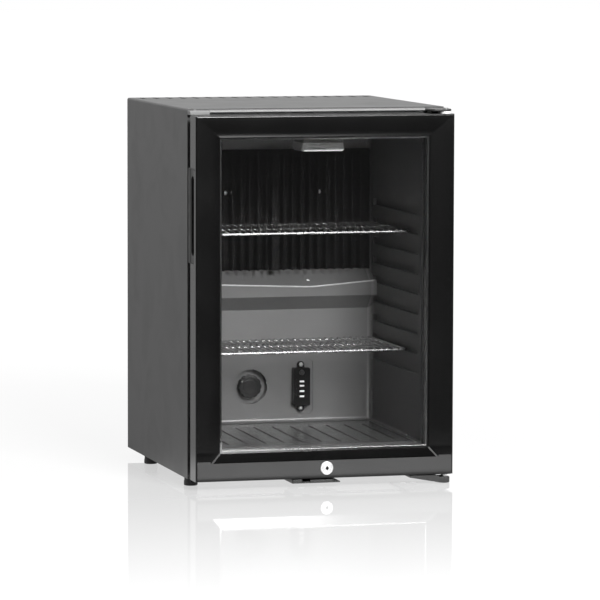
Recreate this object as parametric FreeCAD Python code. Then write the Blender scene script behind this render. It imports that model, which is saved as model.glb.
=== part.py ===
import FreeCAD, Part
import math
import os

V = FreeCAD.Vector
X_AXIS = V(1, 0, 0)
Y_AXIS = V(0, 1, 0)
Z_AXIS = V(0, 0, 1)

# A glass-door bar fridge of the silent absorption kind, in millimetres.
# X is across the front, Y runs from the cabinet's front plane to its back, Z is up from the floor.
# At the end every piece is moved along Y, so that the origin is under the middle of the whole object.

# Working values
overrun = 3.0
tolerance = 0.01
peg_sides = 8
turned_sides = 16
tube_sides = 6
bend_facets = 4
seat_gap = 0.3
shaft_play = 0.08

# Cabinet
cabinet_width = 400.0
cabinet_height = 554.5
cabinet_depth = 396.0
sheet = 1.0
shell_corner_radius = 3.0
front_flange_width = 14.0
rear_flange_width = 9.0
foot_height = 13.0
foot_radius = 10.4
foot_inset = 12.0
foot_front_place = 28.0
foot_rear_margin = 108.0
foot_rim = 1.5

# Vent slots in the top
vent_side_margin = 15.0
vent_pitch = 21.4
vent_width = 6.0
vent_length = 45.0
vent_rear_margin = 3.0
vent_corner = 1.8

# Front trim above the door, and the cap over the spare hinge seat
trim_height = 6.0
trim_depth = 8.0
trim_top_drop = 2.0
cap_length = 32.0
cap_depth = 13.0
cap_height = 6.4
cap_edge = 1.4
cap_boss_radius = 3.2
cap_boss_height = 1.0

# Base pan
pan_flange_height = 14.0
pan_window_side_margin = 50.0
pan_window_length = 71.0
pan_window_rear_margin = 12.0
pan_window_corner = 8.0

# Insulation and rear sheet
insulation_front = 2.0
unit_bay_depth = 96.0
side_insulation = 38.5
top_insulation = 42.5
bottom_insulation = 46.8
lower_rear_insulation = 45.0
upper_rear_insulation = 34.0

# Liner
liner_wall = 2.5
liner_mouth_flare = 2.5
liner_mouth_depth = 57.0
liner_corner_radius = 10.0
liner_cove_radius = 6.0
cove_facets = 3
floor_rise = 3.2
flange_gap = 0.3
floor_groove_count = 10
floor_groove_pitch = 29.2
floor_groove_width = 3.4
floor_groove_depth = 1.2
floor_groove_front = 24.0
floor_groove_rear_margin = 40.0

# Shelf grooves in the liner's side walls
shelf_groove_count = 9
first_groove_rise = 99.9
shelf_groove_pitch = 30.33
shelf_groove_height = 11.0
shelf_groove_depth = 6.0
shelf_groove_front = 13.0
shelf_groove_ramp = 12.0
shelf_groove_rear_margin = 4.0

# Drip gutter across the back of the liner
gutter_rise = 218.2
gutter_lip_fall = 8.5
gutter_strip_rise = 22.0
gutter_lip_low_place = 55.0
gutter_depth = 23.0
gutter_lip_thickness = 2.0
gutter_channel_drop = 2.2
gutter_front_drop = 15.5
gutter_underside_drop = 22.0
drain_hole_radius = 3.0

# Thermostat well and dial
dial_place_x = -36.5
dial_rise = 60.5
well_radius = 27.0
well_taper = 1.5
well_depth = 12.0
dial_radius = 18.4
dial_scallop_count = 12
dial_scallop_radius = 3.4
scallop_sides = 12
dial_scallop_bite = 1.7
dial_thickness = 11.6
dial_cap_radius = 12.0
dial_cap_height = 1.2
dial_mark_width = 1.8
dial_mark_length = 8.0
dial_mark_depth = 0.7
spindle_radius = 3.0
spindle_reach = 17.0
thermostat_width = 40.0
thermostat_height = 42.0
thermostat_depth = 24.0

# Indicator module
module_place_x = 44.2
module_rise = 29.8
module_height = 59.4
module_width = 27.0
module_depth = 12.0
module_edge = 1.6
module_ear_width = 11.0
module_ear_reach = 9.5
module_ear_depth = 6.0
module_recess_margin_x = 6.5
module_recess_margin_z = 14.0
module_recess_depth = 2.0
module_recess_corner = 5.0
light_count = 4
light_width = 7.0
light_height = 2.6
light_relief = 0.6
light_seat = 1.4
light_heights_from_bottom = (38.0, 31.2, 22.8, 14.6)
button_radius = 4.0
button_height_from_bottom = 52.0
button_rim = 1.0
button_relief = 2.4
button_travel = 1.5
button_seat_depth = 6.0
module_boss_radius = 3.4
module_boss_height_from_bottom = 8.0
module_boss_relief = 0.8

# Small screws inside
small_screw_head_radius = 3.2
small_screw_head_height = 2.0
small_screw_radius = 1.6
small_screw_hole_depth = 12.0

# Cooling plate
plate_side_margin = 5.5
plate_lift = 3.0
plate_top_margin = 34.0
plate_corner_bevel = 3.5
plate_thickness = 4.0
fin_pitch = 13.8
fin_thickness = 2.0
fin_depth = 20.0
centre_fin_width = 11.0
plate_screw_place_x = 75.5
plate_screw_drop = 67.0

# Lamp under the ceiling
lamp_place_x = 14.2
lamp_front = 20.0
lamp_width = 67.0
lamp_depth = 52.0
lamp_drop = 24.0
lamp_wall = 2.0
lamp_base_height = 11.5
lamp_side_slope = 4.0
lamp_edge = 2.5
lamp_notch_radius = 3.4
lamp_board_length = 46.0
lamp_board_depth = 14.0
lamp_board_thickness = 1.6
lamp_chip_count = 3
lamp_chip_size = 3.5
lamp_chip_height = 1.0

# Wire shelves
shelf_front = 73.0
shelf_rear_margin = 8.0
shelf_side_gap = 2.0
shelf_frame_radius = 2.0
shelf_wire_radius = 1.2
shelf_wire_pitch = 10.2
shelf_wire_sides = 4
shelf_corner_bend = 8.0
upper_shelf_step = 7
upper_shelf_plate_gap = 1.0
lower_shelf_step = 1

# Door
gasket_space = 18.0
door_thickness = 34.0
door_bottom_lift = 1.4
door_top_drop = 8.7
stile_width = 37.7
top_rail_width = 32.0
bottom_rail_width = 41.6
frame_flat_share = 0.655
frame_bevel_depth = 3.0
frame_lip_thickness = 0.8
frame_edge_radius = 2.2
bottom_edge_radius = 5.5
glass_cover = 7.0
glass_gap = 0.3
pane_thickness = 4.0
spacer_depth = 12.0
spacer_show = 4.0
bead_seat_share = 0.583
bead_edge = 2.0

# Bottom rail's grey cover
cover_thickness = 2.0
cover_proud = 0.4
cover_wrap_depth = 12.0
cover_end_inset = 2.4
cover_end_height = 44.2
cover_end_width = 22.7
cover_seam_width = 2.4

# Door gasket
gasket_side_margin = 13.0
gasket_width = 22.0
gasket_bottom_margin = 21.0
gasket_top_margin = 18.5
gasket_foot_width = 14.0
gasket_foot_depth = 4.0
gasket_bellows_width = 9.0
gasket_head_depth = 6.0

# Hinges
hinge_inset = 9.0
hinge_pin_radius = 3.0
pin_reach_into_door = 12.0
bush_radius = 6.5
bush_flange_radius = 8.0
bush_end_wall = 1.5
upper_arm_lift = 3.7
upper_arm_thickness = 3.0
upper_arm_length = 31.5
upper_arm_side_inset = 1.2
upper_arm_nose = 9.0
upper_arm_nose_radius = 7.0
upper_flange_drop = 12.0
upper_screw_inset = 7.0
upper_pin_head_radius = 4.2
upper_pin_head_height = 1.6
lower_plate_thickness = 3.0
lower_plate_width = 64.8
lower_plate_rear = 60.0
lower_arm_front_margin = 6.0
lower_web_depth = 26.0
lower_web_tip_margin = 18.0
lower_web_tip_height = 1.0
lower_web_shoulder_margin = 24.0
lower_web_shoulder_height = 9.6
lower_bush_flange_height = 1.2
lower_pin_collar_radius = 4.6
hinge_foot_radius = 8.6
hinge_foot_top = 9.3
hinge_foot_edge = 1.2
hexagon_sides = 6
hinge_screw_head_radius = 4.2
hinge_screw_head_height = 2.2
hinge_screw_radius = 2.2
hinge_screw_length = 9.0
lower_screw_margins = (54.0, 38.0)
lower_screw_place_y = 30.0

# Door lock and its striker
lock_place_x = 2.0
lock_rise = 15.5
lock_barrel_radius = 8.5
lock_bezel_radius = 10.2
lock_bezel_height = 2.0
lock_plug_radius = 6.4
lock_plug_proud = 0.4
lock_barrel_length = 25.4
keyway_width = 1.8
keyway_height = 6.4
keyway_depth = 6.0
keyway_round_radius = 1.9
cam_thickness = 2.5
cam_length = 24.0
cam_width = 10.0
cam_space_rear_wall = 2.0
cam_space_margin = 3.0
cam_space_top_margin = 3.0
cam_shaft_radius = 3.4
striker_thickness = 2.0
striker_left = -34.0
striker_right = 24.0
striker_rear = 38.0
striker_drop = 5.8
striker_lip_gap = 2.4
striker_front_margin = 4.0
striker_lip_left = -22.0
striker_lip_right = 13.5
striker_slot_margin = 3.0
striker_wing_left = -50.0
striker_screw_places_x = (-18.0, 12.0)
striker_screw_place_y = 20.0

# Side grips
grip_top_margin = 77.8
grip_length = 142.0
grip_pocket_depth = 14.0
grip_front_margin = 11.0
grip_fit = 0.2
grip_slot_end_margin = 12.0
grip_slot_front_margin = 12.0
grip_slot_width = 16.0
grip_slot_depth = 11.5
grip_slot_radius = 6.5
grip_lip_rear = 9.0
grip_lip_front = 23.0
grip_lip_bulge = 1.8
grip_lip_thickness = 3.6
grip_pin_radius = 1.5
grip_pin_depth = 1.0
grip_pin_front_margin = 7.0
grip_pin_drop = 2.2

# Cooling unit behind the rear sheet
tube_radius = 7.0
tube_bend = 20.0
cooling_tube_wall_margin = 16.0
cooling_tube_side_margin = 80.0
cooling_tube_fall = 10.0
cooling_tube_drop = 72.0
pipe_radius = 9.0
pipe_bend = 24.0
pipe_stub = 3.0
unit_offset = 42.0
boiler_side_margin = 24.0
boiler_width = 80.0
boiler_depth = 80.0
boiler_lift = 49.0
boiler_pipe_rise = 82.0
boiler_edge = 6.0
condenser_top_margin = 93.5
condenser_side_margin = 50.0
condenser_fall = 16.0
condenser_fin_pitch = 16.0
condenser_fin_margin = 38.0
condenser_fin_size = 56.0
condenser_fin_thickness = 1.0
absorber_boiler_gap = 46.0
absorber_run_fall = 12.0
absorber_runs = 4
receiver_radius = 28.0
receiver_side_margin = 24.0
receiver_boiler_gap = 56.0
receiver_lift = 67.0
receiver_dome = 9.0
return_pipe_radius = 6.0
bracket_width = 18.0
bracket_thickness = 3.0
bracket_places_x = (-100.0, 0.0)
bracket_foot_clearance = 30.0
tray_length = 68.0
tray_width = 60.0
tray_height = 22.0
tray_wall = 1.8
tray_corner = 5.0
tray_inset = 46.0
drain_radius = 4.0
drain_bend = 10.0
drain_unit_margin = 21.0
drain_fall = 73.0
drain_outlet_margin = 6.0
terminal_width = 66.0
terminal_depth = 46.0
terminal_height = 38.0
terminal_lift = 7.0
terminal_edge = 3.0
inlet_radius = 7.5
inlet_bore_radius = 3.8
inlet_length = 7.0

# Derived places
half_width = cabinet_width / 2
cabinet_bottom = foot_height
cabinet_top = cabinet_bottom + cabinet_height
foot_rear_place = cabinet_depth - foot_rear_margin
vent_count = int((cabinet_width - vent_side_margin * 2) / vent_pitch) + 1
pan_window_half_width = half_width - pan_window_side_margin
pan_window_rear = cabinet_depth - sheet - pan_window_rear_margin
pan_window_front = pan_window_rear - pan_window_length

insulation_rear = cabinet_depth - unit_bay_depth
unit_front = insulation_rear + sheet
liner_half_width = half_width - side_insulation
liner_mouth_half_width = liner_half_width + liner_mouth_flare
liner_rear_lower = insulation_rear - lower_rear_insulation
liner_rear_upper = insulation_rear - upper_rear_insulation
liner_flange_half_width = half_width - front_flange_width - flange_gap
liner_flange_bottom = cabinet_bottom + pan_flange_height + flange_gap
liner_flange_top = cabinet_top - front_flange_width - flange_gap
floor_front_height = cabinet_bottom + bottom_insulation
floor_rear_height = floor_front_height + floor_rise
ceiling_height = cabinet_top - top_insulation
floor_groove_rear = liner_rear_lower - floor_groove_rear_margin
shelf_groove_bottom = floor_front_height + first_groove_rise
shelf_groove_rear = liner_rear_lower - shelf_groove_rear_margin
gutter_front_place = liner_rear_lower - gutter_depth
gutter_lip_low_height = floor_front_height + gutter_rise
gutter_lip_end_height = gutter_lip_low_height + gutter_lip_fall
gutter_strip_top = gutter_lip_low_height + gutter_strip_rise
gutter_front_bottom = gutter_lip_low_height - gutter_front_drop
gutter_underside_bottom = gutter_front_bottom - gutter_underside_drop

plate_half_width = liner_half_width - plate_side_margin
plate_bottom = gutter_strip_top + plate_lift
plate_top = ceiling_height - plate_top_margin
plate_screw_height = plate_top - plate_screw_drop
fins_each_side = int((plate_half_width - fin_thickness) / fin_pitch)
dial_height = floor_front_height + dial_rise
module_bottom = floor_front_height + module_rise
shelf_half_width = liner_half_width + shelf_groove_depth - shelf_side_gap - shelf_frame_radius
shelf_rear = liner_rear_lower - shelf_rear_margin
upper_shelf_rear = liner_rear_upper - plate_thickness - fin_depth - upper_shelf_plate_gap
shelf_wire_count = int((shelf_half_width - shelf_corner_bend) / shelf_wire_pitch) * 2 + 1

door_rear = -gasket_space
door_front = door_rear - door_thickness
door_bottom = cabinet_bottom + door_bottom_lift
door_top = cabinet_top - door_top_drop
hinge_x = half_width - hinge_inset
hinge_y = (door_front + door_rear) / 2
pane_front = door_front + frame_bevel_depth + frame_lip_thickness
spacer_front = pane_front + pane_thickness
rear_pane_front = spacer_front + spacer_depth
bead_front = rear_pane_front + pane_thickness
window_half_width = half_width - stile_width
window_bottom = door_bottom + bottom_rail_width
window_top = door_top - top_rail_width
gasket_half_width = half_width - gasket_side_margin
gasket_bottom = cabinet_bottom + gasket_bottom_margin
gasket_top = cabinet_top - gasket_top_margin
grip_top = door_top - grip_top_margin
grip_bottom = grip_top - grip_length
grip_slot_bottom = grip_bottom + grip_slot_end_margin
grip_slot_top = grip_top - grip_slot_end_margin
grip_pin_height = grip_top - grip_pin_drop

upper_arm_bottom = door_top + upper_arm_lift
lower_plate_left = half_width - upper_arm_side_inset - lower_plate_width
lower_web_tip = half_width - lower_web_tip_margin
lower_web_shoulder = half_width - lower_web_shoulder_margin
lower_screw_places_x = [half_width - margin for margin in lower_screw_margins]
lock_height = door_bottom + lock_rise
lock_face = door_front - cover_proud - lock_bezel_height - lock_plug_proud
striker_plate_height = cabinet_bottom - striker_drop
striker_lip_top = door_bottom - striker_lip_gap

cooling_tube_place_y = insulation_rear - cooling_tube_wall_margin
cooling_tube_right = half_width - cooling_tube_side_margin
unit_place_y = unit_front + unit_offset
boiler_left = half_width - boiler_side_margin - boiler_width
boiler_bottom = cabinet_bottom + boiler_lift
boiler_pipe_top = cabinet_top - condenser_top_margin
boiler_top = boiler_pipe_top - boiler_pipe_rise
condenser_left = condenser_side_margin - half_width
condenser_fin_first = condenser_left + condenser_fin_margin
absorber_right = boiler_left - absorber_boiler_gap
receiver_left = receiver_side_margin - half_width
receiver_right = boiler_left - receiver_boiler_gap
receiver_height = cabinet_bottom + receiver_lift
tray_left = receiver_right - tray_inset
drain_outside_y = unit_place_y - drain_unit_margin
drain_wall_height = gutter_lip_low_height - drain_fall
terminal_bottom = cabinet_bottom + terminal_lift


# Helpers
def block(x_low, x_high, y_low, y_high, z_low, z_high):
    """A box between two corners."""
    corner = V(x_low, y_low, z_low)
    return Part.makeBox(x_high - x_low, y_high - y_low, z_high - z_low, corner)


def rod(radius, start, axis, length):
    """A round bar, for what turns and what it turns in."""
    return Part.makeCylinder(radius, length, start, axis)


def flat_sided(radius, sides, start, axis):
    """A closed outline with flat sides, as wide across its flats as a round one, square to an axis."""
    first = axis.cross(Z_AXIS) if abs(axis.z) < 1 - tolerance else axis.cross(X_AXIS)
    first.normalize()
    second = axis.cross(first)
    reach = radius / math.cos(math.pi / sides)
    points = []
    for index in range(sides):
        angle = math.pi / 2 + 2 * math.pi * (index + 0.5) / sides
        points.append(start + first * (reach * math.cos(angle)) + second * (reach * math.sin(angle)))
    return Part.makePolygon(points + points[:1])


def flat_sided_bar(radius, sides, start, axis, length):
    """A bar with flat sides."""
    return Part.Face(flat_sided(radius, sides, start, axis)).extrude(axis * length)


def peg(radius, start, axis, length):
    """A hidden shank, or the hole for one, with a few flat sides."""
    return flat_sided_bar(radius, peg_sides, start, axis, length)


def turned(radius, start, axis, length):
    """A turned bar whose round side is made of narrow flats."""
    return flat_sided_bar(radius, turned_sides, start, axis, length)


def bevelled_turning(radius, start, axis, length, first_bevel, last_bevel):
    """A turned bar with a bevel at each end that has one."""
    body = turned(radius, start, axis, length)
    for place, bevel in ((0, first_bevel), (length, last_bevel)):
        if bevel:
            rim = [edge for edge in body.Edges
                   if all(abs((vertex.Point - start).dot(axis) - place) < tolerance for vertex in edge.Vertexes)]
            body = body.makeChamfer(bevel, rim)
    return body


def around(shape):
    """The box round a shape, as room for it in the foam."""
    box = shape.BoundBox
    return block(box.XMin, box.XMax, box.YMin, box.YMax, box.ZMin, box.ZMax)


def prism(corners, run):
    """A flat outline pushed along a vector."""
    return Part.Face(Part.makePolygon(corners + corners[:1])).extrude(run)


def straight_edges(shape, axis, test):
    """The straight edges along an axis whose middle passes a test."""
    found = []
    for edge in shape.Edges:
        if edge.Curve.TypeId != "Part::GeomLine":
            continue
        ends = [vertex.Point for vertex in edge.Vertexes]
        span = ends[-1] - ends[0]
        if abs(abs(span.dot(axis)) - span.Length) < tolerance and test(edge.CenterOfMass):
            found.append(edge)
    return found


def anywhere(_point):
    """The test that every edge passes."""
    return True


def eased_block(x_low, x_high, y_low, y_high, z_low, z_high, axis, radius):
    """A box whose four edges along an axis are rounded."""
    body = block(x_low, x_high, y_low, y_high, z_low, z_high)
    return body.makeFillet(radius, straight_edges(body, axis, anywhere))


def bevelled_block(x_low, x_high, y_low, y_high, z_low, z_high, axis, bevel):
    """A box whose four edges along an axis are bevelled."""
    body = block(x_low, x_high, y_low, y_high, z_low, z_high)
    return body.makeChamfer(bevel, straight_edges(body, axis, anywhere))


def grow_outline(points, amount):
    """Move every side of a closed outline outward, for points listed anticlockwise."""
    grown = []
    for index, point in enumerate(points):
        before = points[index - 1]
        after = points[(index + 1) % len(points)]
        first = unit_normal(before, point)
        second = unit_normal(point, after)
        reach = amount / (1 + first[0] * second[0] + first[1] * second[1])
        grown.append((point[0] + reach * (first[0] + second[0]), point[1] + reach * (first[1] + second[1])))
    return grown


def unit_normal(start, end):
    """The outward normal of a side of an anticlockwise outline."""
    along = (end[0] - start[0], end[1] - start[1])
    length = math.hypot(along[0], along[1])
    return (along[1] / length, -along[0] / length)


def bend_points(before, corner, after, bend):
    """The corners of a bend of a given radius, made of a few straight facets."""
    incoming = (corner - before).normalize()
    outgoing = (after - corner).normalize()
    turn = math.acos(max(-1, min(1, incoming.dot(outgoing))))
    centre = corner + (outgoing - incoming).normalize() * (bend / math.cos(turn / 2))
    outward = (corner - incoming * (bend * math.tan(turn / 2)) - centre).normalize()
    step = turn / bend_facets
    reach = bend / math.cos(step / 2)
    points = []
    for index in range(bend_facets):
        angle = (index + 0.5) * step
        points.append(centre + outward * (reach * math.cos(angle)) + incoming * (reach * math.sin(angle)))
    return points


def bent_tube(points, bend, radius):
    """A tube along straight runs and bends."""
    line = [points[0]]
    for before, corner, after in zip(points, points[1:], points[2:]):
        line += bend_points(before, corner, after, bend)
    line.append(points[-1])
    heading = (line[1] - line[0]).normalize()
    section = flat_sided(radius, tube_sides, line[0], heading)
    return Part.makePolygon(line).makePipeShell([section], True, False, 1)


def round_head_screw(seat, shank_length):
    """One of the small screws that hold fittings to the liner's back."""
    head = flat_sided_bar(small_screw_head_radius, peg_sides * 2, seat - Y_AXIS * small_screw_head_height, Y_AXIS,
                          small_screw_head_height)
    return head.fuse(peg(small_screw_radius, seat, Y_AXIS, shank_length))


def hexagon_screw(seat, axis):
    """A hexagon-head screw whose head stands on a seat and whose shank runs along an axis."""
    head = flat_sided_bar(hinge_screw_head_radius, hexagon_sides, seat - axis * hinge_screw_head_height, axis,
                          hinge_screw_head_height)
    return head.fuse(peg(hinge_screw_radius, seat, axis, hinge_screw_length))


# Cabinet
def make_cabinet_shell():
    """Painted sheet wrap: two sides and a slotted top, with folded flanges at the front and the back."""
    outer = block(-half_width, half_width, 0, cabinet_depth, cabinet_bottom, cabinet_top)
    top_corners = straight_edges(outer, Y_AXIS, lambda middle: middle.z > cabinet_top - tolerance)
    outer = outer.makeFillet(shell_corner_radius, top_corners)
    side = half_width - sheet
    inner = block(-side, side, sheet, cabinet_depth - sheet, cabinet_bottom - overrun, cabinet_top - sheet)
    front_side = half_width - front_flange_width
    front_window = block(-front_side, front_side, -overrun, sheet + overrun,
                         cabinet_bottom - overrun, cabinet_top - front_flange_width)
    rear_side = half_width - rear_flange_width
    rear_window = block(-rear_side, rear_side, cabinet_depth - sheet - overrun, cabinet_depth + overrun,
                        cabinet_bottom - overrun, cabinet_top - rear_flange_width)
    slots = []
    for index in range(vent_count):
        middle = (index - (vent_count - 1) / 2) * vent_pitch
        rear = cabinet_depth - vent_rear_margin
        slots.append(bevelled_block(middle - vent_width / 2, middle + vent_width / 2, rear - vent_length, rear,
                                    cabinet_top - sheet - overrun, cabinet_top + overrun, Z_AXIS, vent_corner))
    return outer.cut([inner, front_window, rear_window] + slots)


def make_top_front_trim():
    """Rounded trim along the cabinet front, above the door, between the cap and the hinge arm."""
    left = cap_length - half_width + seat_gap
    right = hinge_arm_left() - seat_gap
    top = cabinet_top - trim_top_drop
    bottom = top - trim_height
    bow_share = 0.78
    start = V(left, 0, top)
    middle = V(left, -trim_depth * bow_share, top - trim_height * (1 - bow_share))
    nose = V(left, -trim_depth, bottom)
    back = V(left, 0, bottom)
    edges = [Part.Arc(start, middle, nose).toShape(),
             Part.LineSegment(nose, back).toShape(),
             Part.LineSegment(back, start).toShape()]
    return Part.Face(Part.Wire(edges)).extrude(X_AXIS * (right - left))


def make_spare_hinge_cap():
    """Cap that closes the unused hinge seat at the left."""
    top = cabinet_top - trim_top_drop
    body = block(-half_width, cap_length - half_width, -cap_depth, 0, top - cap_height, top)
    upper_front = straight_edges(body, X_AXIS, lambda middle: middle.z > top - tolerance and middle.y < 0)
    upright = straight_edges(body, Z_AXIS, lambda middle: middle.y < -tolerance)
    body = body.makeChamfer(cap_edge, upper_front + upright)
    boss_centre = V(hinge_inset - half_width, -cap_depth / 2, top)
    return body.fuse(flat_sided_bar(cap_boss_radius, peg_sides * 2, boss_centre, Z_AXIS, cap_boss_height))


def make_base_pan():
    """Bottom sheet with an upturned front flange and a window under the cooling unit."""
    side = half_width - sheet
    rear = cabinet_depth - sheet
    floor = block(-side, side, sheet, rear, cabinet_bottom, cabinet_bottom + sheet)
    window = bevelled_block(-pan_window_half_width, pan_window_half_width,
                            pan_window_front, pan_window_rear,
                            cabinet_bottom - overrun, cabinet_bottom + sheet + overrun, Z_AXIS, pan_window_corner)
    flange_side = half_width - front_flange_width
    flange = block(-flange_side, flange_side, 0, sheet, cabinet_bottom, cabinet_bottom + pan_flange_height)
    return floor.cut(window).fuse(flange).removeSplitter()


def liner_outline():
    """Side outline of the space inside the liner, as Y and Z, anticlockwise seen from the right."""
    lip_y = gutter_front_place
    channel = gutter_lip_low_height - gutter_channel_drop
    return [(0, floor_front_height),
            (liner_rear_lower, floor_rear_height),
            (liner_rear_lower, gutter_underside_bottom),
            (lip_y, gutter_front_bottom),
            (lip_y, channel),
            (lip_y + gutter_lip_thickness, channel),
            (liner_rear_upper, gutter_strip_top),
            (liner_rear_upper, ceiling_height),
            (0, ceiling_height)]


def liner_plan(rear, z_low, z_high, grow):
    """The space inside the liner seen from above: a splayed mouth and two round rear corners."""
    half = liner_half_width + grow
    mouth = liner_mouth_half_width + grow
    radius = liner_corner_radius + grow
    back = rear + grow
    bow = radius * (1 - math.sqrt(1 / 2))
    right = [V(mouth, -overrun, z_low), V(mouth, 0, z_low), V(half, liner_mouth_depth, z_low),
             V(half, back - radius, z_low)]
    edges = [Part.LineSegment(start, end).toShape() for start, end in zip(right, right[1:])]
    edges.append(Part.Arc(right[-1], V(half - bow, back - bow, z_low), V(half - radius, back, z_low)).toShape())
    edges.append(Part.LineSegment(V(half - radius, back, z_low), V(radius - half, back, z_low)).toShape())
    edges.append(Part.Arc(V(radius - half, back, z_low), V(bow - half, back - bow, z_low),
                          V(-half, back - radius, z_low)).toShape())
    left = [V(-point.x, point.y, z_low) for point in reversed(right)]
    edges += [Part.LineSegment(start, end).toShape() for start, end in zip(left, left[1:])]
    edges.append(Part.LineSegment(left[-1], right[0]).toShape())
    return Part.Face(Part.Wire(edges)).extrude(Z_AXIS * (z_high - z_low))


def shelf_groove(side, level, grow):
    """One groove in a side wall that carries a shelf, with a ramped front end."""
    bottom = shelf_groove_bottom + level * shelf_groove_pitch
    inside = liner_half_width - overrun
    outside = liner_half_width + shelf_groove_depth + grow
    front = shelf_groove_front - grow
    corners = [V(side * inside, front, bottom - grow),
               V(side * liner_half_width, front, bottom - grow),
               V(side * outside, front + shelf_groove_ramp, bottom - grow),
               V(side * outside, shelf_groove_rear + grow, bottom - grow),
               V(side * inside, shelf_groove_rear + grow, bottom - grow)]
    return prism(corners, Z_AXIS * (shelf_groove_height + grow * 2))


def dial_well(grow):
    """Round recess for the thermostat dial, drawn in at its bottom."""
    start = V(dial_place_x, liner_rear_lower - overrun, dial_height)
    return bevelled_turning(well_radius + grow, start, Y_AXIS, overrun + well_depth + grow, 0, well_taper)


def module_recess(grow):
    """Shallow recess round the indicator module."""
    half = module_width / 2 + module_recess_margin_x + grow
    return bevelled_block(module_place_x - half, module_place_x + half, liner_rear_lower - overrun,
                          liner_rear_lower + module_recess_depth + grow,
                          module_bottom - module_recess_margin_z - grow,
                          module_bottom + module_height + module_recess_margin_z + grow,
                          Y_AXIS, module_recess_corner)


def liner_envelope(grow):
    """The side outline of the liner pushed across it, wide enough for the grooves."""
    reach = liner_half_width + shelf_groove_depth + liner_wall
    outline = grow_outline(liner_outline(), grow)
    body = prism([V(-reach, y, z) for y, z in outline], X_AXIS * (reach * 2))
    low = min(z for y, z in outline if y < tolerance)
    high = max(z for y, z in outline if y < tolerance)
    return body.fuse(block(-reach, reach, -overrun, tolerance, low, high))


def liner_space(grow):
    """The space inside the liner's walls and grooves, or with the wall added when grow is the wall."""
    split = (gutter_front_bottom + gutter_lip_low_height) / 2
    plan = liner_plan(liner_rear_lower, cabinet_bottom, split, grow)
    plan = plan.fuse(liner_plan(liner_rear_upper, split, cabinet_top, grow))
    grooves = [shelf_groove(side, level, grow) for side in (-1, 1) for level in range(shelf_groove_count)]
    return liner_envelope(grow).common(plan).fuse(grooves)


def cove(corner, first, second, run, radius):
    """The material that eases an inner corner with a few facets, pushed along a run."""
    centre = corner + (first + second) * radius
    points = [corner]
    for index in range(cove_facets + 1):
        angle = math.pi / 2 * index / cove_facets
        points.append(centre - first * (radius * math.sin(angle)) - second * (radius * math.cos(angle)))
    return prism(points, run)


def gutter_lip():
    """Low lip along the gutter's front edge: its top falls from both ends to the drain."""
    low = gutter_lip_low_height - gutter_channel_drop
    corners = [V(-liner_half_width, gutter_front_place, low),
               V(liner_half_width, gutter_front_place, low),
               V(liner_half_width, gutter_front_place, gutter_lip_end_height),
               V(gutter_lip_low_place, gutter_front_place, gutter_lip_low_height),
               V(-liner_half_width, gutter_front_place, gutter_lip_end_height)]
    return prism(corners, Y_AXIS * gutter_lip_thickness)


def floor_grooves():
    """Grooves that run from front to back in the liner's floor."""
    slope = (floor_rear_height - floor_front_height) / liner_rear_lower
    grooves = []
    for index in range(floor_groove_count):
        middle = (index - (floor_groove_count - 1) / 2) * floor_groove_pitch
        low = middle - floor_groove_width / 2
        corners = []
        for y, lift in ((floor_groove_front, overrun), (floor_groove_rear, overrun),
                        (floor_groove_rear, -floor_groove_depth), (floor_groove_front, -floor_groove_depth)):
            corners.append(V(low, y, floor_front_height + slope * y + lift))
        grooves.append(prism(corners, X_AXIS * floor_groove_width))
    return grooves


def make_liner():
    """Moulded inner liner: grooves for the shelves, drip gutter, ribbed floor, dial well and module recess."""
    skin = block(-half_width, half_width, 0, insulation_rear, cabinet_bottom, cabinet_top)
    outer = liner_space(liner_wall).fuse([around(dial_well(liner_wall)), around(module_recess(liner_wall))])
    shell = outer.common(skin)
    flange = block(-liner_flange_half_width, liner_flange_half_width, 0, liner_wall - flange_gap * 2,
                   liner_flange_bottom, liner_flange_top)
    body = shell.fuse(flange).cut([liner_space(0), dial_well(0), module_recess(0)])
    rear_lower = V(-liner_half_width, liner_rear_lower, floor_rear_height)
    floor_cove = cove(rear_lower, V(0, -1, 0), Z_AXIS, X_AXIS * (liner_half_width * 2), liner_cove_radius)
    slope = (floor_rear_height - floor_front_height) / liner_rear_lower
    reach = liner_rear_lower - liner_mouth_depth
    run = V(0, -reach, -slope * reach)
    side_coves = []
    for side in (-1, 1):
        corner = V(side * liner_half_width, liner_rear_lower, floor_rear_height)
        side_coves.append(cove(corner, X_AXIS * -side, Z_AXIS, run, liner_cove_radius))
    body = body.fuse([floor_cove, gutter_lip()] + side_coves)
    drain_hole = peg(drain_hole_radius, drain_start() - drain_heading() * overrun, drain_heading(),
                     liner_wall + overrun * 2)
    return body.cut(floor_grooves() + [spindle_room(), drain_hole])


def drain_start():
    """Where the drain tube meets the back of the gutter's sloping strip."""
    strip_y = (gutter_front_place + liner_rear_upper) / 2
    share = (strip_y - gutter_front_place - gutter_lip_thickness)
    share /= liner_rear_upper - gutter_front_place - gutter_lip_thickness
    channel = gutter_lip_low_height - gutter_channel_drop
    height = channel + share * (gutter_strip_top - channel)
    return V(gutter_lip_low_place, strip_y, height)


def drain_heading():
    """The way the drain tube leaves the strip: square to it, down and back."""
    channel = gutter_lip_low_height - gutter_channel_drop
    rise = gutter_strip_top - channel
    length = liner_rear_upper - gutter_front_place - gutter_lip_thickness
    return V(0, rise, -length).normalize()


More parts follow.
